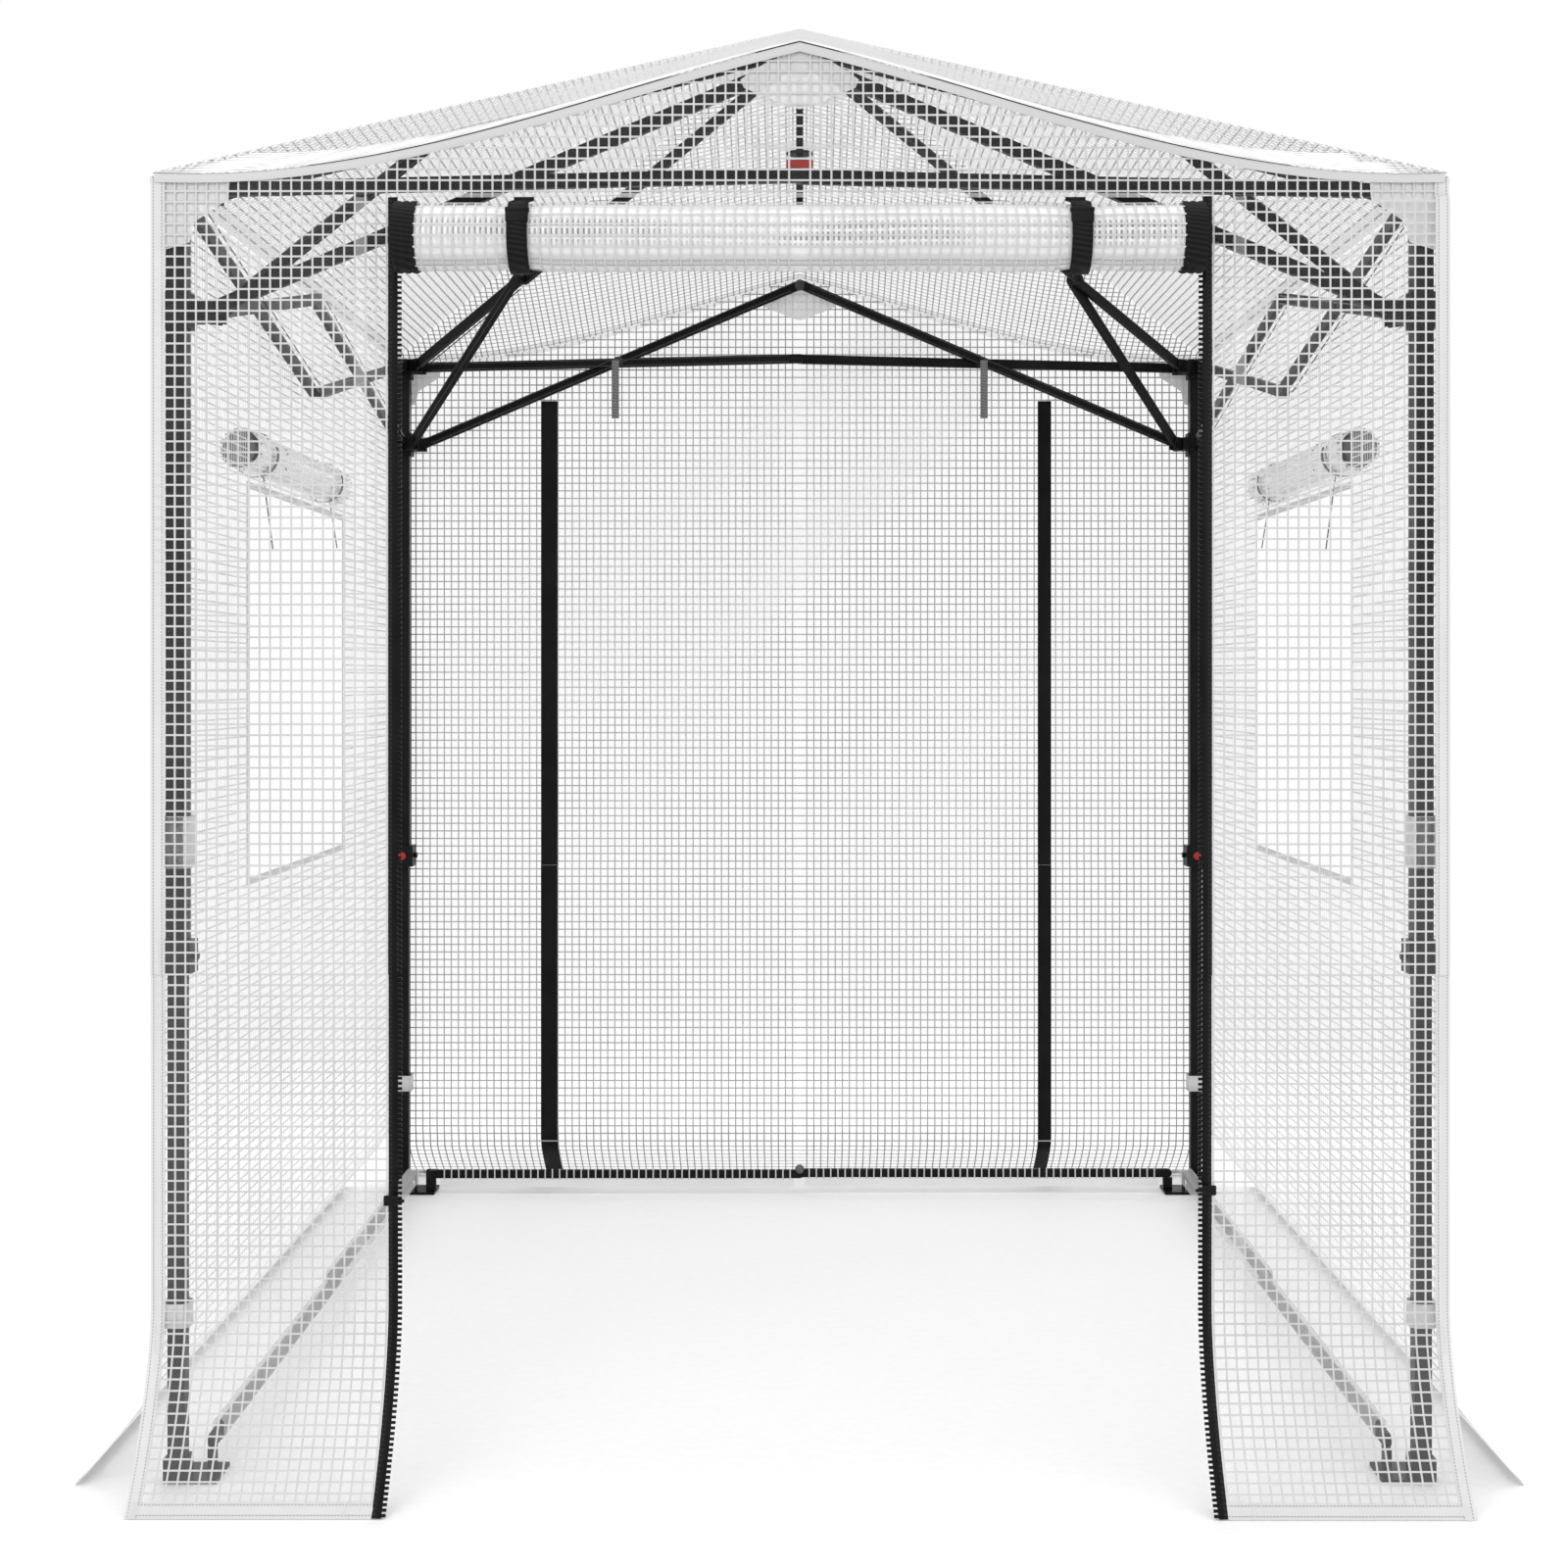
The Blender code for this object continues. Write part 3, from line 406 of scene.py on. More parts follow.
@dataclass(frozen=True)
class RolledFilm(Finish):
    """Layers of film seen through each other in a roll: milky, with rows of dark gaps between the threads
    painted as shade on the band that faces the front.
    """

    tone: float = 0.86
    gap_shade: float = 0.0
    turn: float = 0.276  # length of one turn

    def shader(self, g: Graph) -> Socket:
        """Milky layers on the roll's UV map: U along the roll and V around it, in metres."""
        along, around = g.uv()
        gap = g.calc("LESS_THAN", g.calc("FLOORED_MODULO", along, PITCH_ACROSS / 2), 0.0034)
        swayed = g.calc("ADD", around, g.times(g.noise(2.2, 1.0), 0.03))
        row = g.calc("LESS_THAN", g.calc("FLOORED_MODULO", swayed, 0.0152), 0.0115)
        # Painted shade: the dark gaps are kept to the band of the roll that faces the front.
        from_front = g.calc("ABSOLUTE", g.calc("SUBTRACT", around, self.turn / 2))
        facing = g.spread(from_front, 1.0, 0.0, 0.012, 0.024)
        fade = g.spread(g.noise(5.0, 2.0, g.where((1, 1, 3))), 0.25 * self.gap_shade, self.gap_shade, 0.40, 0.56)
        dark = g.times(g.times(g.times(gap, row), fade), facing)
        soft = g.spread(g.noise(3.0, 2.0, g.where((0.4, 1, 1))), 0.9, 1.0)
        milk = g.tint(soft, self.tone * 0.88, self.tone)
        shine = g.noise(30.0, 2.0, g.where((0.08, 1, 1)))
        return g.surface(Base_Color=g.tint(dark, milk, self.tone * 0.22), Roughness=0.22,
                         Normal=g.bump(shine, 0.35, 0.003), Coat_Weight=0.4, Coat_Roughness=0.08)


@cache
def material_of(finish: Finish) -> bpy.types.Material:
    """The material of a finish, made once."""
    made = bpy.data.materials.new(finish.name)
    g = Graph(made)
    g.add("OutputMaterial", {"Surface": finish.shader(g)})
    return made


@dataclass(frozen=True)
class Cloth:
    """Film and the threads in it, with their spacing across and up."""

    film: Film
    thread: Thread
    pitch: tuple[float, float] = (PITCH_ACROSS, PITCH_UP)


# One cloth throughout, but the thread tone differs by wall: the side threads are lightened as painted light
# so that they fade at a slant, and the back and roof threads are darkened as painted shade.
FRONT = Cloth(Film("clear_film_front", veil=0.015, veil_change=0.03, foot_haze=0.05),
              Thread("grid_thread_front", 0.56))
SIDE = Cloth(Film("clear_film_side", veil=0.03, veil_change=0.03, slant=0.05),
             Thread("grid_thread_side", 0.86))
# The back film's diagonal streaks and its whiter skin are painted highlight.
BACK = Cloth(Film("clear_film_back", veil=0.08, veil_change=0.05, painted_glare=0.40, white=0.95),
             Thread("grid_thread_back", 0.38), PITCH_BACK)
ROOF = Cloth(Film("clear_film_roof", veil=0.10, veil_change=0.05, slant=0.08),
             Thread("grid_thread_roof", 0.46), (PITCH_ACROSS * 0.9, PITCH_UP * 0.9))
FILM_ROLL = Film("rolled_clear_film", veil=0.08, veil_change=0.12, slant=0.3, white=0.95)
# The door roll's dark gaps between the threads are painted shade.
ROLL_MILKY = RolledFilm("rolled_door_film", gap_shade=1.0)
# The window roll takes a lighter copy of the rolled film, as painted light against the shade on its inner
# side.
ROLL_WHITE = RolledFilm("rolled_window_film", tone=0.97)
HEM_GREY = Vinyl("welded_hem_grey", tone=0.58, cover=1.0)
HEM_WHITE = Vinyl("welded_hem_white", tone=0.84, cover=0.93, relief=0.03)
HEM_THIN = Vinyl("thin_hem", tone=0.84, cover=0.40, relief=0.03)
SEAM_CLEAR = Vinyl("clear_seam", tone=0.84, cover=0.22)
BINDING_WHITE = Vinyl("stitched_binding", tone=0.66, cover=0.93, stitched=True)
WRAP_GREY = Vinyl("hook_and_loop_wrap", tone=0.62, cover=0.94)
SLEEVE = Vinyl("rail_sleeve", tone=0.74, cover=0.42)
PATCH_VINYL = Vinyl("translucent_patch", tone=0.76, cover=0.84)
PATCH_THIN = Vinyl("thin_translucent_patch", tone=0.78, cover=0.5)
STEEL_BLACK = Coat("black_powder_coat", (0.005, 0.005, 0.0055), 0.40)
PLASTIC_BLACK = Coat("black_moulding", (0.006, 0.006, 0.0065), 0.48, grain=300.0, relief=0.2)
PLASTIC_RED = Coat("red_moulding", (0.30, 0.008, 0.007), 0.38, grain=300.0, relief=0.1, gloss=0.4)
ZIP_GREY = Webbing("zip_tape_charcoal", (0.011, 0.011, 0.0115))
ZIP_BLACK = Coat("zip_chain_black", (0.003, 0.003, 0.003), 0.35, grain=500.0, relief=0.1)
STRAP_BLACK = Webbing("strap_webbing_black", (0.006, 0.006, 0.0065))
TIE_GREY = Webbing("tie_webbing_grey", (0.13, 0.13, 0.135))
PLUG_GREY = Coat("grey_plug", (0.10, 0.10, 0.103), 0.5)
KNOB_GREY = Coat("grey_knob", (0.11, 0.105, 0.10), 0.4, metallic=0.3)
# Lighter coat for the bar edges and rivet heads: a painted highlight along the steel.
STEEL_PAINTED_HIGHLIGHT = Coat("bar_edge", (0.022, 0.022, 0.023), 0.36, relief=0.1, gloss=0.35)


def piece(name: str, shape: Shape, finish: Finish, travel: Travel, smooth: bool = True) -> bpy.types.Object:
    """Makes an object from a finished shape, which is used up, and sets how it moves."""
    mesh = bpy.data.meshes.new(name)
    for face in shape.faces:
        face.smooth = smooth
    shape.to_mesh(mesh)
    shape.free()
    mesh.materials.append(material_of(finish))
    thing = bpy.data.objects.new(name, mesh)
    bpy.context.scene.collection.objects.link(thing)
    travel.carry(thing)
    LOG.info("made %s: %d faces", name, len(mesh.polygons))
    return thing


# ---------------------------------------------------------------- surfaces of the cover


class Skirt:
    """Outward sweep of a wall near the floor, tabulated along the cloth."""

    def __init__(self, top: float, reach: float, power: float, steps: int = 60) -> None:
        """Sets the height where the sweep starts, how far out the hem lies and how late the sweep bends."""
        self.top, self.reach, self.power = top, reach, power
        self.table = [(0.0, top)]
        for i in range(1, steps + 1):
            gone, above = self.table[-1]
            z = top * (1 - i / steps)
            self.table.append((gone + math.hypot(above - z, self.out(z) - self.out(above)), z))
        self.low = top - self.table[-1][0]

    def out(self, z: float) -> float:
        """Distance outwards at a height."""
        return self.reach * (1 - z / self.top) ** self.power if z < self.top else 0.0

    def height(self, t: float) -> float:
        """Height of the point t along the cloth, where t is the height itself above the sweep."""
        if t >= self.top:
            return t
        gone = min(self.top - t, self.table[-1][0])
        for (a, za), (b, zb) in zip(self.table, self.table[1:]):
            if gone <= b + 1e-9:
                return za + (zb - za) * (gone - a) / (b - a)
        return 0.0


SIDE_SKIRT = Skirt(0.135, 0.108, 1.15)
SKIRTS = {(0, -1): Skirt(0.250, 0.125, 1.7), (0, 1): Skirt(0.100, 0.125, 1.25), (-1, 0): SIDE_SKIRT,
          (1, 0): SIDE_SKIRT}


def sag(share: float) -> float:
    """Rise of the gable hem from the corner (0) to the middle (1): slow, steep, then flat."""
    share = min(max(share, 0.0), 1.0)
    return 0.5 * (share ** 1.8 + share * share * (3 - 2 * share))


def roof_height(x: float, y: float) -> float:
    """Height of the roof: straight along the rafters and side eaves, sagging towards the gable hems."""
    u, v = min(abs(x) / COVER_X, 1.0), min(abs(y) / COVER_Y, 1.0)
    drop = 1 - max(u, v)
    on_rafter = CORNER_Z + (PLANES_MEET_Z - CORNER_Z) * drop
    if u >= v:
        return min(on_rafter, PEAK_Z)
    ridge = GABLE_Z + (PLANES_MEET_Z - GABLE_Z) * drop
    dip = GABLE_DIP * math.sin(math.pi * (1 - u / v)) * max(v - DIP_FROM, 0.0) / (1 - DIP_FROM)
    return min(on_rafter + (ridge - on_rafter) * sag(1 - u / v) - dip, PEAK_Z)


def hem_height(x: float) -> float:
    """Top of an end wall under the roof's edge."""
    return roof_height(x, WALL_Y) - HEM_GAP


class Surface:
    """A cloth surface: s runs across it and t up along it, in metres."""

    def at(self, s: float, t: float) -> Vector:
        """Point of the surface."""
        raise NotImplementedError

    def outward(self, point: Vector) -> Vector:
        """Direction out of the cloth at one of its points."""
        raise NotImplementedError


class Wall(Surface):
    """A wall of the cover, whose cloth may stand proud of the wall's plane."""

    def __init__(self, x: int, y: int, proud: float = 0.0) -> None:
        """Sets the wall by its outward direction in plan."""
        self.way, self.skirt, self.proud = Vector((x, y, 0)), SKIRTS[x, y], proud
        self.plane = (COVER_X if x else WALL_Y) + proud

    def at(self, s: float, t: float) -> Vector:
        """Point of the wall."""
        z = self.skirt.height(t)
        out = self.skirt.out(z) * (1 - min(self.proud, 0.0) / self.skirt.reach)
        return self.way * (self.plane + out) + Vector((s * abs(self.way.y), s * abs(self.way.x), z))

    def outward(self, point: Vector) -> Vector:
        """Out of the wall."""
        return self.way


class RoofCloth(Surface):
    """The hip roof, seen in plan: s is X and t is Y."""

    def at(self, s: float, t: float) -> Vector:
        """Point of the roof."""
        return Vector((s, t, roof_height(s, t)))

    def outward(self, point: Vector) -> Vector:
        """Up."""
        return Vector((0, 0, 1))


class RollCloth(Surface):
    """Cloth wound round a level axis: s runs along the axis and t around it, in metres."""

    ripple = 0.0009
    pinch, pinch_width = 0.0035, 0.030

    def __init__(self, along: Vector, centre: Vector, radius: float, growth: float,
                 pinches: Sequence[float]) -> None:
        """Sets the axis, the radius and its growth in a full turn, and where straps draw the roll in."""
        self.along, self.centre, self.radius, self.growth = along, centre, radius, growth
        self.pinches = pinches
        self.front = Vector((0, 0, 1)).cross(along).normalized()

    def at(self, s: float, t: float) -> Vector:
        """Point of the roll."""
        angle = t / self.radius
        reach = self.radius + self.growth * angle / math.tau
        reach += self.ripple * math.sin(17 * s + 2 * angle) * math.sin(5 * s)
        for place in self.pinches:
            reach -= self.pinch * math.exp(-((s - place) / self.pinch_width) ** 2)
        turn = self.front * math.cos(angle) + Vector((0, 0, 1)) * math.sin(angle)
        return self.centre + self.along * s + turn * reach

    def outward(self, point: Vector) -> Vector:
        """Away from the axis."""
        from_axis = point - self.centre
        return (from_axis - self.along * from_axis.dot(self.along)).normalized()


@dataclass(frozen=True)
class Stretch:
    """Cloth between two upright edges, from a level or shaped bottom to a level or shaped top."""

    left: float
    right: float
    bottom: Limit
    top: Limit

    def span_at(self, s: float) -> tuple[float, float]:
        """Bottom and top at a place across."""
        return value_at(self.bottom, s), value_at(self.top, s)

    def inside(self, steps: int = 40) -> list[float]:
        """Even places across, from the left to the right."""
        return [self.left + (self.right - self.left) * i / steps for i in range(steps + 1)]

    def level(self, t: float, samples: int = 160) -> tuple[float, float] | None:
        """Where a level line starts and ends inside the stretch, or None where it misses it."""
        if not callable(self.top) and not callable(self.bottom):
            return (self.left, self.right) if self.bottom < t < self.top else None
        found = []
        for s in self.inside(samples):
            low, high = self.span_at(s)
            if low < t < high:
                found.append(s)
        return (found[0], found[-1]) if len(found) > 2 else None

    def places(self, pitch: float) -> list[float]:
        """Places of the upright threads."""
        return multiples(pitch, self.left, self.right)

    def levels(self, pitch: float) -> list[float]:
        """Heights of the level threads."""
        spans = [self.span_at(s) for s in self.inside()]
        return multiples(pitch, min(low for low, _ in spans), max(high for _, high in spans))


def multiples(pitch: float, low: float, high: float) -> list[float]:
    """Multiples of a pitch between two places."""
    return [k * pitch for k in range(math.ceil(low / pitch + 1e-6), math.floor(high / pitch - 1e-6) + 1)]


# ---------------------------------------------------------------- shapes


def face_out(shape: Shape, surface: Surface) -> Shape:
    """Turns an open shape so that its faces look out of its surface."""
    shape.normal_update()
    total = 0.0
    for face in shape.faces:
        total += face.normal.dot(surface.outward(face.calc_center_median())) * face.calc_area()
    if total < 0:
        bmesh.ops.reverse_faces(shape, faces=shape.faces)
    return shape


def lay_map(shape: Shape, chart: dict[bmesh.types.BMVert, tuple[float, float]]) -> None:
    """Writes the UV map that a chart gives vertex by vertex."""
    layer = shape.loops.layers.uv.new("UVMap")
    for face in shape.faces:
        for loop in face.loops:
            loop[layer].uv = chart[loop.vert]


def film_over(surface: Surface, stretches: Sequence[Stretch], cell: float = 0.07) -> Shape:
    """Clear film over stretches of a surface, as one open sheet with faces of about the size of a cell."""
    shape = bmesh.new()
    chart = {}
    for stretch in stretches:
        width = stretch.right - stretch.left
        tall = max(high - low for low, high in map(stretch.span_at, stretch.inside()))
        columns, rows = (max(2, math.ceil(size / cell)) for size in (width, tall))
        for vert in bmesh.ops.create_grid(shape, x_segments=columns, y_segments=rows, size=1.0)["verts"]:
            a, b = (vert.co.x + 1) / 2, (vert.co.y + 1) / 2
            s = stretch.left + width * a
            low, high = stretch.span_at(s)
            chart[vert] = (s, low + (high - low) * b)
            vert.co = surface.at(*chart[vert])
    lay_map(shape, chart)
    bmesh.ops.remove_doubles(shape, verts=shape.verts, dist=0.0004)
    return face_out(shape, surface)


def tapes(surface: Surface, lines: Sequence[tuple[Limit, float, float]], run: Run, width: float, steps: int,
          crown: float = 0.0005, lift: float = 0.0002, mapped: bool = False) -> Shape:
    """Flat crowned tapes laid on a surface, all from one grid cut between the tapes.

    A line is a tape's place, start and end. The lift is the height of a tape's edges above the surface, and
    the crown that of its middle above the edges. A map has U across a tape and V along it in metres.
    """
    shape = bmesh.new()
    rows = 3 * len(lines) - 1
    bmesh.ops.create_grid(shape, x_segments=steps, y_segments=rows, size=1.0)
    between = [face for face in shape.faces
               if round((face.calc_center_median().y + 1) / 2 * rows - 0.5) % 3 == 2]
    bmesh.ops.delete(shape, geom=between, context="FACES")
    chart = {}
    for vert in shape.verts:
        line, across = divmod(round((vert.co.y + 1) / 2 * rows), 3)
        place, start, end = lines[line]
        along = start + (end - start) * (vert.co.x + 1) / 2
        place = value_at(place, along) + (across - 1) * width / 2
        point = surface.at(place, along) if run is Run.UP else surface.at(along, place)
        vert.co = point + surface.outward(point) * (lift + (crown if across == 1 else 0.0))
        chart[vert] = (across / 2, along)
    if mapped:
        lay_map(shape, chart)
    return face_out(shape, surface)


def threads_over(surface: Surface, stretches: Sequence[Stretch], pitch: tuple[float, float],
                 steps: tuple[int, int]) -> Shape:
    """The threads both ways; the steps are those along a thread up and along one across."""
    up, across = [], []
    for stretch in stretches:
        for place in stretch.places(pitch[0]):
            low, high = stretch.span_at(place)
            if high - low > 0.004:
                up.append((place, low, high))
        for t in stretch.levels(pitch[1]):
            ends = stretch.level(t)
            if ends is not None:
                across.append((t, *ends))
    return joined(tapes(surface, up, Run.UP, THREAD, steps[0]),
                  tapes(surface, across, Run.ACROSS, THREAD, steps[1], lift=0.0005))


def joined(first: Shape, *others: Shape) -> Shape:
    """One shape of several."""
    for other in others:
        mesh = bpy.data.meshes.new("spare")
        other.to_mesh(mesh)
        other.free()
        first.from_mesh(mesh)
        bpy.data.meshes.remove(mesh)
    return first


def cuboid(shape: Shape, centre: Sequence[float], size: Sequence[float],
           turn: Matrix | None = None) -> list[bmesh.types.BMVert]:
    """Adds a turned box round a point."""
    matrix = Matrix.Translation(centre) @ (Matrix.Identity(4) if turn is None else turn)
    return bmesh.ops.create_cube(shape, size=1.0, matrix=matrix @ Matrix.Diagonal((*size, 1)))["verts"]


def bevel(shape: Shape, edges: Sequence[bmesh.types.BMEdge], offset: float, segments: int) -> None:
    """Rounds edges off."""
    bmesh.ops.bevel(shape, geom=edges, offset=offset, segments=segments, profile=0.5, affect="EDGES",
                    material=-1)


def block(shape: Shape, low: Sequence[float], high: Sequence[float], offset: float,
          segments: int = 2) -> None:
    """Adds a box between two corners, with its edges rounded off."""
    low, high = Vector(low), Vector(high)
    made = cuboid(shape, (low + high) / 2, high - low)
    bevel(shape, list({edge for vert in made for edge in vert.link_edges}), offset, segments)


def edges_along(shape: Shape, axis: int, least: float) -> list[bmesh.types.BMEdge]:
    """Edges that run along an axis, longer than the least length."""
    return [edge for edge in shape.edges if abs(edge.verts[0].co[axis] - edge.verts[1].co[axis]) > least]


def open_ends(shape: Shape, axis: int) -> None:
    """Deletes the faces that look along an axis."""
    ends = [face for face in shape.faces if abs(face.normal[axis]) > 0.9]
    bmesh.ops.delete(shape, geom=ends, context="FACES")


def turned(profile: Sequence[tuple[float, float]], start: Vector, along: Vector, steps: int) -> Shape:
    """A shape turned round an axis of length 1, from the distance along it and the radius of each point."""
    shape = bmesh.new()
    side = along.orthogonal().normalized()
    verts = [shape.verts.new(start + along * a + side * r) for a, r in profile]
    edges = [shape.edges.new(pair) for pair in zip(verts, verts[1:])]
    bmesh.ops.spin(shape, geom=verts + edges, cent=start, axis=along, angle=math.tau, steps=steps,
                   use_merge=True)
    bmesh.ops.remove_doubles(shape, verts=shape.verts, dist=1e-5)
    bmesh.ops.recalc_face_normals(shape, faces=shape.faces)
    return shape


def ribbon(path: Sequence[Vector], across: Vector, width: float, thickness: float) -> Shape:
    """A closed strap along the middle points of a path, its thickness to the left of it."""
    shape = bmesh.new()
    count = len(path) - 1
    bmesh.ops.create_grid(shape, x_segments=count, y_segments=2, size=1.0)
    for vert in shape.verts:
        vert.co = path[round((vert.co.x + 1) / 2 * count)] + across * (vert.co.y * width / 2)
    shape.normal_update()
    bmesh.ops.solidify(shape, geom=shape.faces[:], thickness=thickness)
    bmesh.ops.recalc_face_normals(shape, faces=shape.faces)
    return shape


def patch(surface: Surface, outline: Sequence[tuple[float, float]], lift: float,
          welt: float = 0.004) -> Shape:
    """A flat patch welded on a surface, or inside it with a lift below 0, with a welt along its edge."""
    shape = bmesh.new()
    points = [surface.at(s, t) for s, t in outline]
    face = shape.faces.new([shape.verts.new(point + surface.outward(point) * lift) for point in points])
    face.normal_update()
    bmesh.ops.inset_region(shape, faces=[face], thickness=welt, depth=-0.0004, use_even_offset=True)
    bmesh.ops.triangulate(shape, faces=[f for f in shape.faces if len(f.verts) > 4])
    return face_out(shape, surface)


# ---------------------------------------------------------------- cloth panels


@dataclass(frozen=True)
class Band:
    """A hem, binding or tape on a panel."""

    label: str
    run: Run
    place: Limit
    start: float
    end: float
    width: float
    finish: Finish
    crown: float = 0.0010
    lift: float = 0.0005


def foot_hem(low: float, start: float, end: float, finish: Finish = BINDING_WHITE) -> Band:
    """Hem along the foot of a wall."""
    return Band("hem", Run.ACROSS, low + FOOT_HEM / 2, start, end, FOOT_HEM, finish)


def top_hem(label: str, top: Limit, start: float, end: float, width: float, finish: Finish) -> Band:
    """Hem along the top of a wall, in front of the roof's."""
    return Band(label, Run.ACROSS, lambda s: value_at(top, s) - width / 2, start, end, width, finish, 0.0015,
                0.0030)


def lengths_of(side: int, end: int, low: float, top: Limit,
               lap: float = LAP) -> Sequence[tuple[str, str, float, Limit, float]]:
    """The two lengths of a wall's cloth: label, body, bottom, top and how proud each hangs."""
    return (("upper", leg_body(side, end), LEG_FOOT, top, 0.0),
            ("lower", leg_body(side, end, Leg.INNER), low, LEG_FOOT, -lap))


@dataclass
class Panel:
    """One panel of the cover: its film, the grid of threads in it and the bands along its edges."""

    name: str
    surface: Surface
    stretches: Sequence[Stretch]
    travel: Travel
    cloth: Cloth
    bands: Sequence[Band] = ()
    stands_for: Sequence[str] = ()
    steps: int = 10

    def build(self) -> None:
        shape = film_over(self.surface, self.stretches)
        area = sum(face.calc_area() for face in shape.faces)
        width = max(s.right for s in self.stretches) - min(s.left for s in self.stretches)
        film = piece(f"{self.name}_film", shape, self.cloth.film, self.travel)
        threads = threads_over(self.surface, self.stretches, self.cloth.pitch, (self.steps, self.steps))
        grid = piece(f"{self.name}_grid", threads, self.cloth.thread, self.travel)
        trims = [self.trim(band) for band in self.bands]
        if self.stands_for:
            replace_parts(film, *self.stands_for)
        length = max(self.cloth_length(), area / width)

    def cloth_length(self) -> float:
        """Longest run of the cloth from bottom to top."""
        lengths: dict[float, float] = {}
        for stretch in self.stretches:
            for place in stretch.inside(8):
                low, high = stretch.span_at(place)
                points = [self.surface.at(place, low + (high - low) * j / 12) for j in range(13)]
                run = sum((b - a).length for a, b in zip(points, points[1:]))
                lengths[round(place, 5)] = lengths.get(round(place, 5), 0.0) + run
        return max(lengths.values())

    def trim(self, band: Band) -> bpy.types.Object:
        """Makes one band."""
        shape = tapes(self.surface, [(band.place, band.start, band.end)], band.run, band.width,
                      max(4, self.steps * 2), band.crown, band.lift, mapped=True)
        return piece(f"{self.name}_{band.label}", shape, band.finish, self.travel)


class Cover:
    """The fitted cover: walls, roof and their hems."""

    def build(self) -> None:
        """Makes every panel."""
        for side in (-1, 1):
            self.front_panels(side)
            self.gable(side)
            for end in (-1, 1):
                self.side_panels(side, end)
                self.roof_panels(side, end)
            self.back_panels(side)

    def front_panels(self, side: int) -> None:
        """Cloth between a front leg and the doorway's zip."""
        left, right = span(side, ZIP_EDGE, WALL_EDGE_X)
        edge = side * (WALL_EDGE_X - BINDING / 2 + CORNER_LAP / 2)
        proud = RIGHT_PROUD if side > 0 else 0.0
        low = SKIRTS[0, -1].low
        for part, body, bottom, top, shift in lengths_of(side, -1, low, DOOR_TOP):
            bands = [Band("edge", Run.UP, edge, bottom, top, BINDING + CORNER_LAP, BINDING_WHITE),
                     Band("seam", Run.UP, side * SEAM_X, bottom, top, 0.016, SEAM_CLEAR)]
            if part == "lower":
                bands.append(foot_hem(low, left, right))
            Panel(f"{corner_name(side, -1)}_{part}", Wall(0, -1, proud + shift),
                  [Stretch(left, right, bottom, top)], Travel(body), FRONT, bands, steps=16).build()

    def gable(self, side: int) -> None:
        """Half of the front cloth above the doorway."""
        left, right = span(side, 0.0, WALL_EDGE_X)
        outer = span(side, WALL_EDGE_X - BINDING, WALL_EDGE_X + CORNER_LAP)
        bands = [
            top_hem("hem", hem_height, left, right, 0.013, HEM_GREY),
            Band("lintel", Run.ACROSS, DOOR_TOP + 0.003, *span(side, 0.0, ZIP_EDGE), 0.006, HEM_THIN),
            Band("edge", Run.UP, sum(outer) / 2, DOOR_TOP, CORNER_Z - 0.006, BINDING + CORNER_LAP,
                 BINDING_WHITE),
        ]
        Panel(f"front_gable_{side_name(side)}", Wall(0, -1), [Stretch(left, right, DOOR_TOP, hem_height)],
              gather_x(leg_body(side, -1), side), FRONT, bands, ("front_wall",), 16).build()

    def back_panels(self, side: int) -> None:
        """Half of the back wall, with the closed zip flap of the back door."""
        left, right = span(side, 0.0, WALL_EDGE_X)
        low = SKIRTS[0, 1].low
        edge = side * (WALL_EDGE_X - BINDING / 2)
        flap, flap_width = (0.544, 0.030) if side > 0 else (-0.5565, 0.037)
        for part, body, bottom, top, shift in lengths_of(side, 1, low, hem_height):
            upper = part == "upper"
            flap_ends = (LEG_FOOT, FLAP_TOP) if upper else (low + 0.028, LEG_FOOT)
            bands = [
                Band("edge", Run.UP, edge, bottom, value_at(top, edge), BINDING, BINDING_WHITE),
                Band("zip_flap", Run.UP, flap, *flap_ends, flap_width, ZIP_BLACK, -0.0003, -0.0003),
                top_hem("hem", top, left, right, 0.009, HEM_THIN) if upper else foot_hem(low, left, right),
            ]
            Panel(f"{corner_name(side, 1)}_{part}", Wall(0, 1, shift), [Stretch(left, right, bottom, top)],
                  gather_x(body, side), BACK, bands, ("back_wall",), 16).build()

    def side_panels(self, side: int, end: int) -> None:
        """Half of a side wall, with half of its window opening."""
        near, far = span(end, 0.0, WALL_EDGE_Y)
        window = span(end, 0.0, WINDOW_HALF)
        beyond = span(end, WINDOW_HALF, WALL_EDGE_Y)
        head = CORNER_Z - HEM_GAP
        edge = end * (WALL_EDGE_Y - BINDING / 2)
        frame = 0.012
        holed = [Stretch(*beyond, LEG_FOOT, head), Stretch(*window, LEG_FOOT, WINDOW_LOW),
                 Stretch(*window, WINDOW_HIGH, head)]
        for part, body, bottom, top, shift in lengths_of(side, end, SIDE_SKIRT.low, head):
            upper = part == "upper"
            bands = [Band("edge", Run.UP, edge, bottom, top, BINDING, HEM_WHITE)]
            if upper:
                bands += [
                    top_hem("eave", head, near, far, 0.013, HEM_THIN),
                    Band("window_side", Run.UP, end * (WINDOW_HALF + frame / 2), WINDOW_LOW - frame,
                         WINDOW_HIGH + frame, frame, BINDING_WHITE),
                    Band("window_sill", Run.ACROSS, WINDOW_LOW - frame / 2, *window, frame, BINDING_WHITE),
                    Band("window_head", Run.ACROSS, WINDOW_HIGH + frame / 2, *window, frame, BINDING_WHITE),
                ]
            else:
                bands.append(foot_hem(bottom, near, far, HEM_WHITE))
            Panel(f"{side_name(side)}_{end_name(end)}_{part}", Wall(side, 0, shift),
                  holed if upper else [Stretch(near, far, bottom, top)], gather_y(body, end), SIDE, bands,
                  (f"{side_name(side)}_wall",)).build()

